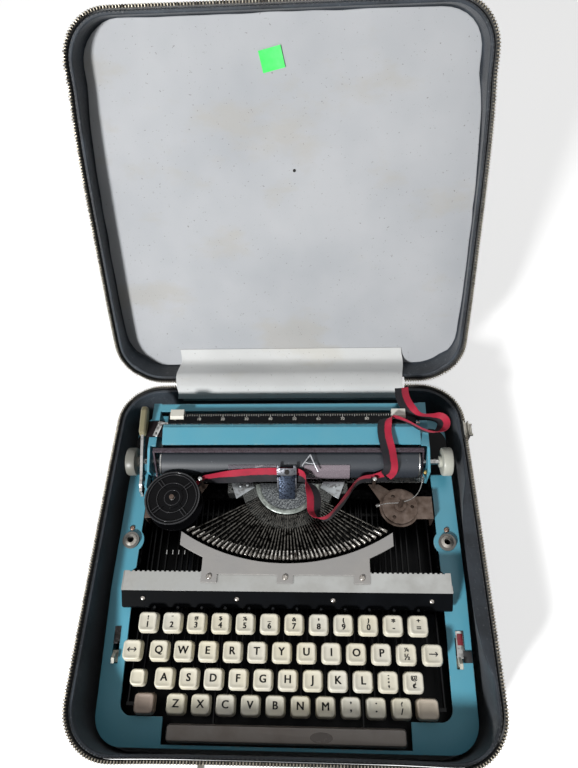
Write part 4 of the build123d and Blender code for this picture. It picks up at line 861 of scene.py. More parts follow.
def boldLetter(text, place, size):
    # a bold letter: the same one four times, a hair apart, so that narrow corners such as an M's stay open
    x, y, z = place
    apart = bold["fineApart" if text in "&@#%$" else "apart"]
    points = text in ".,:;'*"
    size *= bold["points"] if points else 1
    marks = [lettering(text, (x + side * apart, y + lean * bold["up"], z + side * 0.00001), size)
        for side in (-1, 1) for lean in (-1, 1)]
    if points:  # cut larger than the letters beside them, and centred by their own outline
        ys = [vertex.co.y for mark in marks for vertex in mark.data.vertices]
        for mark in marks:
            mark.data.transform(Matrix.Translation((0, y - (min(ys) + max(ys)) / 2, 0)))
    return marks


def dishPoint(row, over):
    # y and z this far over the middle of a row's dishes
    return keys["y"][row], keys["top"][row] + keys["rise"] - dishDeep + over


def legendAt(text, x, row):
    y, z = dishPoint(row, 0.00006)
    if isinstance(text, tuple):
        return (boldLetter(text[0], (x, y + keys["markUp"], z), keys["mark"])
            + boldLetter(text[1], (x, y - keys["figureDown"], z), keys["figure"]))
    return boldLetter(text, (x, y, z), keys["letter"])


def arrowMark(x, row, heads):
    # arrow of flat strips, with one head or two
    y, z = dishPoint(row, 0.00008)
    marks = [block((x, y, z), arrow["shaft"])]
    for side in heads:
        for lean in (-1, 1):
            spot = (x + side * arrow["out"], y + lean * arrow["aside"], z)
            marks.append(block(spot, arrow["head"], turn=(0, 0, -side * lean * arrow["turn"])))
    return marks


for row, body in enumerate(rows):
    xs = [keys["first"] + keys["pitch"] * (keys["shift"][row] + k) for k in range(keys["count"][row])]
    plate = joined(body.replace("_keys", "") + "Caps", [capAt("letter", x, row) for x in xs])
    dressed(plate, body, "key_plastic", smooth=50)
    words = [mark for x, text in zip(xs, legends[row]) for mark in legendAt(text, x, row)]
    fitted(body.replace("_keys", "") + "Legends", words, body, "key_plastic", ink)
for body, cap, x, row, heads in (("margin_release_key", "letter", -0.1182, 1, (-1, 1)),
        ("back_space_key", "letter", 0.113, 1, (1,)), ("shift_lock_key", "lock", -0.1129, 2, ())):
    fitted(body + "_cap", [capAt(cap, x, row)], body, "key_plastic", smooth=50)
    if heads:
        fitted(body + "_arrow", arrowMark(x, row, heads), body, "key_plastic", ink)
# the left shift's brown-grey colour is painted shade: the key lies in the shadow of the case's left wall
for name, x, finishName, colour, aged, rough in (
        ("leftShift", -0.1074, "shadowedCream", "#A6998E", "#948377", 0.32),
        ("rightShift", 0.108, "darkCream", "#C9C0B0", "#B7A998", 0.3)):
    plastic = moulded(finishName, {"colour": colour, "aged": aged, "rough": rough, "ageing": 0.8})
    fitted(name + "Cap", [capAt(name, x, 3)], "shift_keys", "key_plastic", plastic, smooth=50)
for cap in caps.values():
    bpy.data.objects.remove(cap)

# Space bar: rounded bar with a worn oval on its top

space = {"x": (-0.089, 0.0915), "y": (-0.139, -0.1265), "top": 0.036, "height": 0.0063, "over": 0.0002,
    "corner": 0.0025, "rim": 0.0011, "narrow": (0.992, 0.87, 1), "worn": (0.0283, -0.1338),
    "wornReach": (0.0085, 0.0036)}
(left, right), (near, far) = space["x"], space["y"]
spaceMiddle = Vector(((left + right) / 2, (near + far) / 2,
    space["top"] + space["over"] - space["height"] / 2))
spaceCap = startPiece("spaceCap", "cube", size=1, location=spaceMiddle,
    scale=(right - left + 2 * space["over"], far - near + 2 * space["over"], space["height"]))
roundEdges(upright, space["corner"], 4)
pick("faces", lambda middle, face: face.normal.z > 0.9)
bpy.ops.transform.resize(value=space["narrow"], center_override=spaceMiddle)
pick("faces", lambda middle, face: face.normal.z < -0.9)
bpy.ops.mesh.delete(type="ONLY_FACE")
roundEdges(lambda middle, edge: middle.z > space["top"], space["rim"], 3)
modify(spaceCap, "BEVEL", width=0.0002, segments=1, limit_method="ANGLE", angle_limit=0.6)
dressed(spaceCap, "space_bar", "space_plastic", smooth=45)
wornSpace = moulded("wornGreyPlastic", {"colour": "#4A3E36", "aged": "#5E534B", "rough": 0.2, "patch": 0.006})
wornPatch = rounds((*space["worn"], space["top"] + 0.00021), 1, 0.00006, corners=28)
wornPatch.name = "wornOval"
stretched(wornPatch, (*space["worn"], 0), (*space["wornReach"], 1))
dressed(wornPatch, "space_bar", "space_plastic", wornSpace)
print("keys done")

# Ribbon: one loose inked strip, twisted as it lies, in two stretches; cuts are the points across its width
ribbon = {"width": 0.012, "thick": 0.0003, "cuts": 5, "cup": 0.0006, "waves": 190}


def ribbonStrip(name, body, stations, node):
    # stations are centre point and the direction of the red edge; both are smoothed along the strip
    line, across = (smoothLine([station[k] for station in stations]) for k in (0, 1))
    width, cuts = ribbon["width"], ribbon["cuts"]
    verts, uvs = [], []
    run = 0.0
    for k, centre in enumerate(line):
        ahead = (line[min(k + 1, len(line) - 1)] - line[max(k - 1, 0)]).normalized()
        side = across[min(k, len(across) - 1)]
        side = (side - ahead * side.dot(ahead)).normalized()
        outward = ahead.cross(side)
        run += (line[k] - line[k - 1]).length if k else 0
        for j in range(cuts):
            part = j / (cuts - 1)
            cup = ribbon["cup"] * math.sin(math.pi * part) * math.sin(run * ribbon["waves"])
            verts.append(centre + side * width * (part - 0.5) + outward * cup)
            uvs.append((run / width, part))
    strip = meshPiece(name, verts, bandFaces(len(line), cuts))
    layer = strip.data.uv_layers.new(name="UVMap")
    for loop in strip.data.loops:
        layer.data[loop.index].uv = uvs[loop.vertex_index]
    modify(strip, "SOLIDIFY", thickness=ribbon["thick"], offset=0)
    dressed(strip, body, "ribbon_fabric", instead=[node], smooth=60)
    print(name, "flat", width, round(run, 4))


ribbonStrip("frontRibbon", "case_base",
    [((-0.08, 0.05, 0.0668), (0.0, 0.0, 1.0)), ((-0.0745, 0.0585, 0.0668), (0.0, 0.0, 1.0)),
        ((-0.064, 0.0582, 0.068), (0.0, 0.3, 0.95)), ((-0.052, 0.059, 0.0695), (0.0, 0.6, 0.8)),
        ((-0.036, 0.0598, 0.071), (0.0, 0.8, 0.6)), ((-0.015, 0.0604, 0.0715), (0.0, 0.8, 0.6)),
        ((-0.004, 0.0604, 0.0715), (0.0, 0.8, 0.6)), ((0.009, 0.0604, 0.0715), (0.0, 0.75, 0.65)),
        ((0.016, 0.057, 0.0715), (-0.35, 0.5, 0.75)), ((0.0215, 0.048, 0.0715), (-0.85, 0.2, 0.4)),
        ((0.0235, 0.038, 0.0715), (-0.95, 0.0, 0.15)), ((0.0225, 0.029, 0.07), (-0.8, -0.3, 0.35)),
        ((0.0265, 0.0225, 0.069), (-0.3, -0.2, 0.85)), ((0.0345, 0.022, 0.069), (-0.05, 0.05, 0.98)),
        ((0.043, 0.031, 0.069), (-0.08, 0.12, 0.97)), ((0.051, 0.042, 0.069), (-0.08, 0.12, 0.97)),
        ((0.058, 0.053, 0.0685), (0.0, 0.05, 1.0)), ((0.064, 0.058, 0.068), (0.0, 0.1, 1.0)),
        ((0.072, 0.0592, 0.067), (0.0, 0.1, 1.0)),
    ], "ribbon_front")
ribbonStrip("backRibbon", "carriage",
    [((0.0745, 0.0592, 0.0668), (0.0, 0.1, 1.0)), ((0.079, 0.059, 0.069), (0.3, 0.2, 0.9)),
        ((0.085, 0.059, 0.072), (0.8, 0.15, 0.5)), ((0.0885, 0.062, 0.0785), (1.0, 0.0, 0.05)),
        ((0.088, 0.069, 0.0818), (1.0, 0.05, 0.0)), ((0.087, 0.079, 0.0832), (1.0, 0.0, 0.0)),
        ((0.0845, 0.088, 0.0858), (1.0, 0.0, 0.05)), ((0.0838, 0.096, 0.0875), (1.0, 0.05, 0.0)),
        ((0.085, 0.103, 0.089), (0.9, -0.25, 0.3)), ((0.0895, 0.1075, 0.0885), (0.3, -0.2, 0.93)),
        ((0.097, 0.1065, 0.088), (0.0, -0.24, 0.97)), ((0.105, 0.102, 0.088), (0.0, -0.24, 0.97)),
        ((0.114, 0.0955, 0.088), (0.05, -0.26, 0.96)), ((0.1245, 0.092, 0.088), (0.2, -0.38, 0.9)),
        ((0.1325, 0.095, 0.0885), (0.75, -0.35, 0.6)), ((0.1355, 0.1005, 0.089), (0.9, 0.1, 0.4)),
        ((0.1325, 0.106, 0.089), (0.45, 0.35, 0.8)), ((0.1245, 0.107, 0.0885), (0.05, -0.05, 1.0)),
        ((0.114, 0.107, 0.0885), (0.2, 0.0, 0.98)), ((0.107, 0.113, 0.0895), (0.75, 0.4, 0.5)),
        ((0.103, 0.1215, 0.0895), (0.95, 0.2, 0.2)), ((0.1012, 0.131, 0.088), (0.95, 0.2, 0.15)),
        ((0.102, 0.138, 0.0865), (0.9, 0.35, 0.15)),
    ], "ribbon_back")

# Screws: domed heads, slotted where the shield is held


def screwHead(radius, height, slot):
    head = startPiece("screwHead", "uv_sphere", radius=radius, segments=20, ring_count=12)
    pick("faces", lambda middle, face: middle.z < -1e-6)
    bpy.ops.mesh.delete(type="FACE")
    bpy.ops.object.mode_set(mode="OBJECT")
    head.data.transform(Matrix.Diagonal((1, 1, height / radius, 1)))
    if slot:
        pick("edges", lambda middle, edge: edge.is_boundary)
        bpy.ops.mesh.edge_face_add()
        bpy.ops.object.mode_set(mode="OBJECT")
        cutter = block((0, 0, height), (3 * radius, slot, height * 1.1))
        modify(head, "BOOLEAN", operation="DIFFERENCE", object=cutter, solver="EXACT")
        bpy.data.objects.remove(cutter)
    return head


def seated(piece, place, turn=0.0, tilt=0.0):
    return copied(piece,
        place=Matrix.Translation(place) @ Matrix.Rotation(tilt, 4, "X") @ Matrix.Rotation(turn, 4, "Z"))


shieldScrew = screwHead(0.0024, 0.0015, 0.0006)
coverScrew = screwHead(0.0022, 0.0016, 0)
smallScrew = screwHead(0.0014, 0.0008, 0.0004)
screws = {"shield": ((-0.0615, 1.0), (0.0, 1.15), (0.0615, 1.9)), "shieldY": -0.024, "shieldZ": 0.0628,
    "cover": (-0.1142, -0.0383, 0.0381, 0.1153), "coverY": -0.0405, "coverZ": 0.0579, "coverTilt": 0.6}
heads = [seated(shieldScrew, (x, screws["shieldY"], screws["shieldZ"]), turn) for x, turn in screws["shield"]]
heads += [seated(coverScrew, (x, screws["coverY"], screws["coverZ"]), 0.0, screws["coverTilt"])
    for x in screws["cover"]]
fitted("trimScrewHeads", heads, "case_base", "bright_steel",
    plated("nickelHead",
        {"colour": "#A7A29C", "grime": "#5B4F48", "rough": 0.2, "from": 0.5, "to": 0.75, "patch": 0.001}),
    instead=["trim_screws"])

# Rails: screws beside the bushes, steel collars in the bushes, colour window and touch plate
rail = {"slope": 0.1407, "bend": (-0.03, 0.046), "colour": (0.1368, -0.066), "touch": (-0.1355, -0.069),
    "pad": (0.1418, -0.0775), "markStep": 0.0028, "screw": (0.1356, 0.0209, 0.0459), "bush": (0.1348, 0.01),
    "collars": ((0.004, 0.0003, 0.0482), (0.0052, 0.0004, 0.048)), "collarHole": 0.0026}
x, y, z = rail["screw"]
railHeads = [seated(shieldScrew, (side * x, y, z), 0.6 * side) for side in (-1, 1)]
collars = []
for side in (-1, 1):
    for radius, depth, z in rail["collars"]:
        ring = rounds((side * rail["bush"][0], rail["bush"][1], z), radius, depth, corners=28, bevel=0.0001)
        pick("faces", lambda middle, face: abs(face.normal.z) > 0.9)
        bpy.ops.mesh.inset(thickness=radius - rail["collarHole"])
        bpy.ops.mesh.delete(type="FACE")
        bpy.ops.object.mode_set(mode="OBJECT")
        collars.append(ring)
fitted("railScrews", railHeads, "case_base", "bright_steel",
    plated("rustyHead",
        {"colour": "#9A8478", "grime": "#5C3D30", "rough": 0.4, "from": 0.4, "to": 0.7, "patch": 0.001}))
fitted("bushCollars", collars, "case_base", "bright_steel",
    plated("greyCollar", {"colour": "#A5A19A", "grime": "#6C6760", "rough": 0.38, "from": 0.45, "to": 0.75}))
nodes["cover_grommets"].data.materials[0] = moulded("greyRubberBush",
    {"colour": "#7C7A76", "aged": "#55534F", "rough": 0.5})


def railPlate(spot, ahead, size, up, bevel=0.0002):
    # a small plate on the sloping front part of a side rail, this far ahead of its spot
    bendY, bendZ = rail["bend"]
    x, y = spot[0], spot[1] + ahead
    return block((x, y, bendZ - (bendY - y) * math.tan(rail["slope"]) + up), size, turn=(rail["slope"], 0, 0),
        bevel=bevel)


redMark = enamel("redMark",
    {"colour": "#6E1522", "dusty": "#7A2A30", "worn": "#9A5A50", "rough": 0.3, "dust": 0.4, "wear": 0.4,
        "edge": 0.0002})
for name, spot, ahead, size, up, bevel, slot, material in (
        ("colourFrame", "colour", -0.003, (0.0062, 0.02, 0.0006), 0.0003, 0.0002, "bright_steel", None),
        ("colourWindow", "colour", 0.0008, (0.0042, 0.0085, 0.0005), 0.0007, 0.0002, "stop_plastic", redMark),
        ("railPad", "pad", 0, (0.0066, 0.0085, 0.0012), 0.0005, 0.0004, "black_rubber", None),
        ("touchFrame", "touch", 0.0035, (0.005, 0.013, 0.0005), 0.0003, 0.0002, "frame_steel", None),
        # the touch slot's near-black is painted shade inside the slot
        ("touchSlot", "touch", 0.0035, (0.003, 0.0108, 0.0004), 0.0006, 0.0002, "black_paint", holeShade)):
    fitted(name, [railPlate(rail[spot], ahead, size, up, bevel)], "case_base", slot, material)
marks = [railPlate(rail["touch"], 0.0005 + rail["markStep"] * k, (0.0018, 0.0005, 0.0002), 0.0009)
    for k in range(3)]
fitted("touchMarks", marks, "case_base", "frame_steel")
print("ribbon, screws and rails done")

# Margin scale: one line for each letter width, a longer one and a figure for each ten
scaleBar = {"x": -0.0997, "step": 0.0021167, "count": 97, "ten": 0.003, "five": 0.0023, "one": 0.0016,
    "stroke": 0.0004, "edge": 0.0012, "figure": 0.0036, "figureDown": 0.006}
printWhite = mottled("printedWhite",
    {"colour": "#D5D3CB", "second": "#8D8A82", "rough": 0.5, "from": 0.45, "to": 0.7, "patch": 0.003})
_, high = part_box("margin_scale")
scaleTop = high.z + 0.00005
strokes = []
for k in range(scaleBar["count"]):
    tall = scaleBar["one" if k % 5 else "five" if k % 10 else "ten"]
    x = scaleBar["x"] + k * scaleBar["step"]
    strokes.append(block((x, high.y - scaleBar["edge"] - tall / 2, scaleTop),
        (scaleBar["stroke"], tall, 0.0001)))
    if k % 10 == 0:
        strokes.append(lettering(str(k), (x, high.y - scaleBar["figureDown"], scaleTop), scaleBar["figure"]))
fitted("scaleMarks", strokes, "carriage", "black_paint", printWhite)

# Paper bail: worn lines along its front edge
bailLine = {"x": -0.1, "y": 0.0787, "z": 0.08092, "size": (0.00045, 0.002, 0.00008)}
bailLines = [block((bailLine["x"] + k * scaleBar["step"], bailLine["y"], bailLine["z"]), bailLine["size"])
    for k in range(scaleBar["count"])]
fitted("bailLines", bailLines, "paper_bail", "bail_steel",
    enamel("bailInk",
        {"colour": "#2B2224", "dusty": "#5C4A4A", "worn": "#8A7A78", "rough": 0.5, "dust": 0.9, "wear": 0.2,
            "edge": 0.0001}))

# Platen: bright end rings; wires and springs round the carriage
platen = {"axis": (0.076, 0.064), "rings": (-0.1105, 0.1135), "knob": 0.1386, "knobSize": (0.0124, 0.0088),
    "collar": 0.1334, "collarSize": (0.005, 0.003)}
rings = [startPiece("ring", "torus", major_radius=0.0141, minor_radius=0.0007, major_segments=48,
    minor_segments=8, location=(x, *platen["axis"]), turn=sideways) for x in platen["rings"]]
fitted("platenRings", rings, "platen", "bright_steel")


def coil(name, start, end, radius, turns, thick, perTurn=10):
    # close-wound wire spring from start to end
    a, b = Vector(start), Vector(end)
    axis = (b - a).normalized()
    u = axis.orthogonal().normalized()
    v = axis.cross(u)
    count = turns * perTurn
    angles = [math.tau * k / perTurn for k in range(count + 1)]
    points = [a.lerp(b, k / count) + radius * (u * math.cos(angle) + v * math.sin(angle))
        for k, angle in enumerate(angles)]
    return wire(name, points, thick)


brassWire = plated("brassWire",
    {"colour": "#B9A36A", "grime": "#5A4A28", "rough": 0.3, "from": 0.45, "to": 0.7, "patch": 0.002})
lineWire = [wire("line",
    ((0.1165, 0.06, 0.064), (0.115, 0.052, 0.0625), (0.108, 0.043, 0.0615), (0.096, 0.039, 0.061),
        (0.086, 0.0395, 0.06), (0.08, 0.038, 0.0595), (0.0755, 0.0375, 0.059)), 0.0004),
    coil("hook", (0.1172, 0.062, 0.064), (0.116, 0.057, 0.0638), 0.0012, 3, 0.0004),
    coil("knot", (0.079, 0.0375, 0.0595), (0.076, 0.0372, 0.059), 0.0013, 3, 0.0004)]
fitted("rackLine", lineWire, "case_base", "bright_steel")
dressed(coil("railSpring", (0.1182, 0.0655, 0.0655), (0.1202, 0.065, 0.0655), 0.0017, 4, 0.0005), "carriage",
    "bright_steel", brassWire)
guideWire = [wire("guide",
    ((0.0131, 0.0656, 0.078), (0.015, 0.068, 0.0795), (0.0203, 0.0741, 0.0822), (0.0203, 0.0741, 0.0822),
        (0.024, 0.066, 0.0795), (0.0268, 0.061, 0.077)), 0.0007),
    wire("guideBar", ((0.016, 0.068, 0.0796), (0.0236, 0.0668, 0.0796)), 0.0004)]
fitted("cardWire", guideWire, "carriage", "bright_steel",
    plated("wireSteel",
        {"colour": "#B4B6BA", "grime": "#77777A", "rough": 0.3, "from": 0.4, "to": 0.7, "patch": 0.002}))
postTops = [seated(coverScrew, (x, y, z))
    for x, y, z in ((-0.0748, 0.056, 0.073), (0.0748, 0.056, 0.073), (-0.0965, 0.038, 0.0752))]
fitted("postTops", postTops, "case_base", "bright_steel")
print("scale, wires and rings done")

# Segment: light plates beside the fan, their screws, and the polished bead round the slots
segment = {"middle": 0.057, "plate": ((-0.044, 0.0425), (-0.0285, 0.053), (-0.05, 0.0585), (-0.031, 0.0585)),
    "plateZ": 0.0602, "bead": (0.0256, 0.06), "face": (0.0246, 0.0598)}


def segmentArc(radius, z, angles):
    # points round the fan's middle
    return [(radius * math.cos(math.radians(a)), segment["middle"] + radius * math.sin(math.radians(a)), z)
        for a in angles]


segmentPlates = []
for side in (-1, 1):
    slab = startPiece("slab", "plane", size=1)
    bpy.ops.object.mode_set(mode="OBJECT")
    for vertex, (x, y) in zip(slab.data.vertices, segment["plate"]):
        vertex.co = (side * -x, y, segment["plateZ"])
    modify(slab, "SOLIDIFY", thickness=0.0008, offset=0)
    selectOnly(slab)
    pick("faces", lambda middle, face: True)
    bpy.ops.mesh.normals_make_consistent(inside=False)
    modify(slab, "BEVEL", width=0.0002, segments=2)
    segmentPlates += [slab, seated(smallScrew, (side * 0.041, 0.0545, 0.0606), 0.8),
        seated(smallScrew, (side * 0.035, 0.0555, 0.0606))]
fitted("segmentPlates", segmentPlates, "case_base", "bright_steel",
    plated("dullChrome",
        {"colour": "#8E9294", "grime": "#5A5652", "rough": 0.36, "from": 0.5, "to": 0.8, "patch": 0.004}))
band = wire("segmentBead", segmentArc(*segment["bead"], range(182, 360, 8)), 0.0023)
stretched(band, (0, 0, segment["bead"][1]), (1, 1, 0.35))
dressed(band, "case_base", "bright_steel",
    plated("greyBead",
        {"colour": "#8E948F", "grime": "#5C605C", "rough": 0.42, "from": 0.4, "to": 0.75, "patch": 0.003}))
nodes["segment"].data.materials[0] = plated("dustySegment",
    {"colour": "#6A6C6A", "grime": "#1A1A19", "rough": 0.36, "from": 0.36, "to": 0.6, "patch": 0.0008})


def typeSteel(name, centre, reach, look):
    # hardened steel bars, black with oil along their length, with bright type heads at their far ends
    material, tree, shader, place = startMaterial(name, 0.3, Metallic=1.0)
    flat = addNode(tree, "VectorMath", {0: place, 1: (1, 1, 0)}, operation="MULTIPLY").outputs[0]
    far = addNode(tree, "VectorMath", {0: flat, 1: centre}, operation="DISTANCE").outputs["Value"]
    head = addNode(tree, "MapRange", {"Value": far, "From Min": reach - 0.0004, "From Max": reach + 0.0004})
    dirt = noiseMask(tree, place, 0.0025, 0.42, 0.62)
    bars = layered(tree, look["bar"], (dirt, 1, look["oil"]))
    heads = layered(tree, look["head"], (dirt, 0.4, look["inked"]))
    finished(tree, shader, layered(tree, bars, (head.outputs["Result"], 1, heads)))
    soft = addNode(tree, "Bevel", {"Radius": 0.0003}, samples=4).outputs["Normal"]
    relief(tree, shader, dirt, 0.00005, 0.3, soft)
    return material


nodes["typebars"].data.materials[0] = typeSteel("typeSteel", (0, 0.1486, 0), 0.1553,
    {"bar": "#504E4A", "oil": "#0A0908", "head": "#6E6A64", "inked": "#3A3632"})
# these parts lie in the well under the keys: near black, partly as painted shade
for name in ("typebar_rest", "lever_comb", "side_frames"):
    nodes[name].data.materials[0] = blackSteelAndWellShade
nodes["ribbon_brackets"].data.materials[0] = finish["hub_steel"]

# Trim: its folded ends, pegs under the black cover, and four bright strips behind the trim, painted
# reflections off the lever comb
trimFold = [block((-0.1316, -0.0272, 0.0585), (0.0008, 0.015, 0.007), bevel=0.0003),
    block((0.1316, -0.032, 0.058), (0.0008, 0.006, 0.008), bevel=0.0003)]
fitted("trimFolds", trimFold, "case_base", "trim_aluminium")
pegs = [rounds((-0.1048 + keys["pitch"] * k, -0.0462, 0.0538), 0.0012, 0.003, turn=(1.0, 0, 0), corners=10,
    bevel=0.0003) for k in range(12)]
fitted("coverPegs", pegs, "case_base", "black_paint",
    enamel("wornBlackEnamel",
        {"colour": "#2A2C30", "dusty": "#3C3E42", "worn": "#8A8A88", "rough": 0.35, "dust": 0.6, "wear": 0.8,
            "edge": 0.0003}))
# bright strips painted as reflections off the lever comb
combReflections = [block((-0.1006 + 0.0051 * k, -0.002, 0.0535), (0.0007, 0.0036, 0.0006)) for k in range(4)]
fitted("combReflections", combReflections, "case_base", "bright_steel")

# Carriage end: slotted strip at the left, with two holes
strip = block((-0.115, 0.0995, 0.0822), (0.0045, 0.015, 0.001), turn=(0, 0, -0.28), bevel=0.0003)
holes = [rounds((-0.115 + dx, 0.0995 + dy, 0.0829), 0.0008, 0.0003, corners=12)
    for dx, dy in ((0.0012, 0.0045), (-0.0012, -0.0045))]
fitted("slottedStrip", [strip], "carriage", "bright_steel")
# the holes' near-black is painted shade
fitted("stripHoles", holes, "carriage", "bright_steel", holeShade)
for spare in (shieldScrew, coverScrew, smallScrew):
    bpy.data.objects.remove(spare)
print("segment and carriage details done")

# Type slugs: one on the end of each bar
fan = {"far": 0.1586, "offset": 0.0916, "spread": 62.5, "count": 44, "z": 0.0633, "drop": 0.0006,
    "back": 0.0036}
slug = startPiece("slug", "cube", size=1, location=(0, 0, 0), scale=(0.0022, 0.0078, 0.0024))
pick("faces", lambda middle, face: face.normal.z > 0.9)
bpy.ops.transform.resize(value=(0.45, 0.9, 1), center_override=(0, 0, 0))
modify(slug, "BEVEL", width=0.0003, segments=2)
slugs = []
for k in range(fan["count"]):
    angle = math.radians(fan["spread"] * (2 * k / (fan["count"] - 1) - 1))
    reach = math.sqrt((fan["offset"] * math.cos(angle)) ** 2 - fan["offset"] ** 2 + fan["far"] ** 2)
    reach -= fan["offset"] * math.cos(angle) + fan["back"]
    spot = Vector((reach * math.sin(angle), segment["middle"] - reach * math.cos(angle),
        fan["z"] - fan["drop"] * (k % 2)))
    slugs.append(copied(slug, place=Matrix.Translation(spot) @ Matrix.Rotation(angle, 4, "Z")))
bpy.data.objects.remove(slug)
fitted("typeSlugs", slugs, "case_base", "bright_steel",
    plated("typeMetal",
        {"colour": "#D2CFC9", "grime": "#2E2924", "rough": 0.28, "from": 0.36, "to": 0.62, "patch": 0.0022}))

# Segment: mottled half disc inside the bead
arc = segmentArc(*segment["face"], range(180, 361, 6))
halfDisc = meshPiece("segmentFace", arc, [tuple(range(len(arc)))])
modify(halfDisc, "SOLIDIFY", thickness=0.0008, offset=0)
dressed(halfDisc, "case_base", "bright_steel",
    plated("mottledSegment",
        {"colour": "#85898A", "grime": "#3E4145", "rough": 0.4, "from": 0.36, "to": 0.6, "patch": 0.0012}))

# Type guide: blued plate with a bright forked frame in front of the ribbon
guideLean = -0.75
guideBlue = plated("bluedSteel",
    {"colour": "#333A46", "grime": "#171A21", "rough": 0.34, "from": 0.4, "to": 0.62, "patch": 0.0014})
nodes["ribbon_vibrator"].data.materials[0] = guideBlue
guideSides = [block((side * 0.0074, 0.0572, 0.0722), (0.0021, 0.0007, 0.02), turn=(guideLean, 0, 0),
    bevel=0.0002) for side in (-1, 1)]
guideSides += [block((side * 0.007, 0.0643, 0.0795), (0.0026, 0.0012, 0.0026), turn=(guideLean, 0, 0),
    bevel=0.0003) for side in (-1, 1)]
guideSides += [block((0, 0.0608, 0.0763), (0.015, 0.0008, 0.007), turn=(guideLean, 0, 0), bevel=0.0002)]
fitted("guideFrame", guideSides, "ribbon_vibrator", "bright_steel",
    plated("guideSteel",
        {"colour": "#6C6E73", "grime": "#3C3C40", "rough": 0.3, "from": 0.4, "to": 0.65, "patch": 0.0012}))
plate = block((0, 0.0505, 0.0668), (0.014, 0.0006, 0.021), turn=(-0.85, 0, 0), bevel=0.0002)
fitted("guidePlate", [plate], "ribbon_vibrator", "bright_steel", guideBlue)
# the hole's near-black is painted shade
hole = rounds((0.0002, 0.0604, 0.0768), 0.0022, 0.0006, turn=(math.pi / 2 + guideLean, 0, 0), corners=20)
fitted("guideHole", [hole], "ribbon_vibrator", "bright_steel", holeShade)

# Spool: turned rings and four pairs of ribs on its top flange, glossier than the spool and painted lighter as
# painted highlight
spool = {"place": (-0.0965, 0.038), "top": 0.075, "pin": 0.0024, "rib": (0.0072, 0.0005, 0.0004),
    "ribReach": 0.016, "ribApart": 0.0013,
    "rings": ((0.0229, 0.0007), (0.0206, 0.0004), (0.0131, 0.0003), (0.0066, 0.0003))}
spoolTop = Vector((*spool["place"], spool["top"]))
spoolRings = [startPiece("ring", "torus", major_radius=major, minor_radius=minor, major_segments=64,
    minor_segments=8, location=spoolTop) for major, minor in spool["rings"]]
for k in range(4):
    angle = math.radians(40 + 90 * k)
    along = Vector((math.cos(angle), math.sin(angle), 0))
    aside = spool["ribApart"] * Vector((-along.y, along.x, 0))
    for side in (-1, 1):
        spot = spoolTop + Vector((0, 0, 0.0001)) + spool["ribReach"] * along + side * aside
        spoolRings.append(block(spot, spool["rib"], turn=(0, 0, angle)))
spoolPin = startPiece("spoolPin", "uv_sphere", radius=spool["pin"], segments=24, ring_count=12,
    location=spoolTop)
dressed(stretched(spoolPin, (0, 0, spool["top"]), (1, 1, 0.5)), "ribbon_spool", "bright_steel")
fitted("spoolRings", spoolRings, "ribbon_spool", "spool_plastic",
    moulded("highlightPhenolic", {"colour": "#1C1C1F", "aged": "#2A2A2D", "rough": 0.12, "specular": 0.5}))

# Platen knobs: plain turned knobs, the left one painted greyer and darker as painted shade
for side, name, look in ((-1, "left", {"colour": "#7E7E77", "aged": "#6B6A63", "rough": 0.36}),
        (1, "right", {"colour": "#BFC1B8", "aged": "#A9A99D", "rough": 0.34})):
    knob = rounds((side * platen["knob"], *platen["axis"]), *platen["knobSize"], turn=sideways, corners=48,
        bevel=0.0016)
    collar = rounds((side * platen["collar"], *platen["axis"]), *platen["collarSize"], turn=sideways,
        corners=24, bevel=0.0004)
    fitted(name + "Knob", [knob, collar], "platen", "knob_plastic", moulded(name + "KnobPlastic", look),
        instead=["platen_knobs"] if side > 0 else ())

# Dark sheets painted as the shade under the carriage ends, seen beside the blue rails and between the blocks
# of the left end
shadeSheets = []
for place, size in (((0.1362, 0.094, 0.0464), (0.0166, 0.046, 0.001)),
        ((-0.1362, 0.102, 0.0464), (0.0166, 0.03, 0.001))):
    part = block(place, size)
    roundEdges(lambda middle, edge: upright(middle, edge) and middle.y > 0.11 and abs(middle.x) > 0.14,
        0.014, 6)
    bpy.ops.object.mode_set(mode="OBJECT")
    shadeSheets.append(part)
fitted("railShadeSheets", shadeSheets, "case_base", "black_paint")
fitted("endGap", [block((-0.118, 0.1003, 0.0803), (0.015, 0.016, 0.0008), bevel=0.0002)], "carriage",
    "black_paint",
    enamel("gapShadeEnamel",
        {"colour": "#141012", "dusty": "#2E2224", "worn": "#5A4A48", "rough": 0.35, "dust": 0.7, "wear": 0.3,
            "edge": 0.0003, "specular": 0.1}))

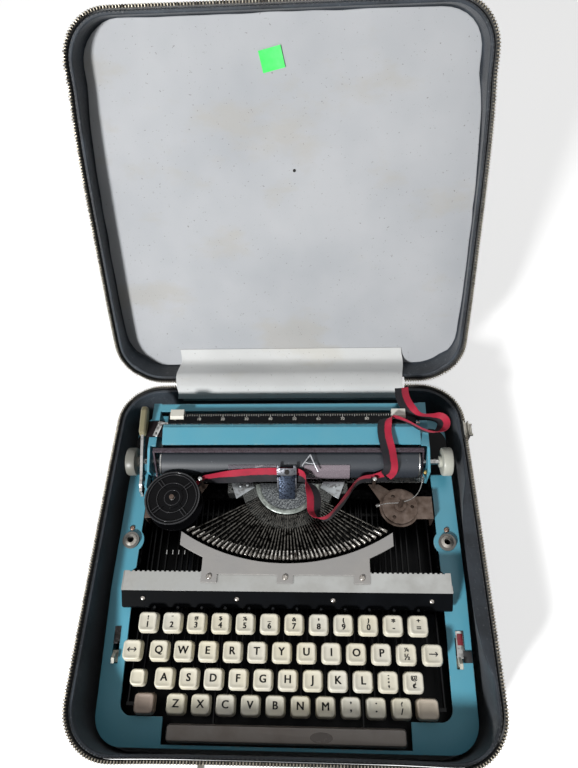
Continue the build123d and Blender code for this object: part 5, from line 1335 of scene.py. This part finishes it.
# Back of the case: rolled cloth edge under the flap, and stitches round the rim
roll = wire("rolledEdge",
    ((-0.102, 0.144, 0.059), (-0.06, 0.1436, 0.0592), (0.0, 0.144, 0.059), (0.06, 0.1434, 0.0592),
        (0.102, 0.144, 0.059)), 0.0022)
dressed(roll, "case_base", "case_vinyl",
    moulded("greyBinding", {"colour": "#66777A", "aged": "#4F5C5E", "rough": 0.5}))
seam = outline(-0.0009, 0.066, steps=8, gap=tapeGap)
boxFaces = ((3, 2, 1, 0), (4, 5, 6, 7), (0, 1, 5, 4), (1, 2, 6, 5), (2, 3, 7, 6), (3, 0, 4, 7))
halfLong, halfWide, stitchHigh = tape["stitchHalf"]
verts, faces = [], []
for a, b in zip(seam, seam[1:]):
    start, step = Vector(a), Vector(b) - Vector(a)
    count = max(1, round(step.length / tape["stitch"]))
    turn = math.atan2(step.y, step.x)
    along = Vector((math.cos(turn), math.sin(turn), 0)) * halfLong
    wide = Vector((-math.sin(turn), math.cos(turn), 0)) * halfWide
    for k in range(count):
        spot = start + step * (k + 0.5) / count
        faces += [tuple(len(verts) + corner for corner in side) for side in boxFaces]
        for up in (0.0, stitchHigh):
            foot = spot + Vector((0, 0, up))
            verts += [foot - along - wide, foot + along - wide, foot + along + wide, foot - along + wide]
for name, half in halves.items():
    row = meshPiece(name + "Stitches", verts, faces)
    softWall(row, half["low"], half["lean"])
    row.data.transform(half["place"])
    dressed(row, half["body"], "case_vinyl", thread)

# Handle: padded grip with eyes at its ends and a line of stitches along it
grip = {"half": 0.0525, "y": -0.1583, "eye": 0.044, "low": 0.0215, "thin": 0.0033, "fat": 0.0043,
    "fatHalf": 0.046, "stitch": (0.0022, 0.0004, 0.0005), "eyeSize": (0.0042, 0.0068)}
course = [(grip["half"], grip["eye"]), (grip["half"], 0.034), (grip["half"], 0.027), (0.05, 0.0228),
    (0.044, grip["low"]), (0.02, grip["low"])]
course += [(0.0, grip["low"])] + [(-x, z) for x, z in reversed(course)]
strap = wire("grip", [(-x, grip["y"], z) for x, z in course], grip["thin"])
for vertex in strap.data.vertices:
    upper = vertex.co.z > 0.03
    along = 0.0 if upper else max(0.0, 1 - (abs(vertex.co.x) / grip["fatHalf"]) ** 4)
    swell = 1 + (grip["fat"] / grip["thin"] - 1) * along
    vertex.co.y = grip["y"] + (vertex.co.y - grip["y"]) * swell
    if not upper:
        vertex.co.z = grip["low"] + (vertex.co.z - grip["low"]) * (1 - along + swell * along)
eyes = [rounds((side * grip["half"], grip["y"], grip["eye"]), *grip["eyeSize"], turn=sideways, corners=24,
    bevel=0.0008) for side in (-1, 1)]
handle = fitted("handleGrip", [strap, *eyes], "carry_handle", "handle_vinyl", smooth=60,
    instead=["carry_handle"])
gripSeam = [block((x * 0.0035, grip["y"] - grip["fat"], grip["low"]), grip["stitch"]) for x in range(-12, 13)]
fitted("gripStitches", gripSeam, "carry_handle", "handle_vinyl", thread)
print("small pieces done")
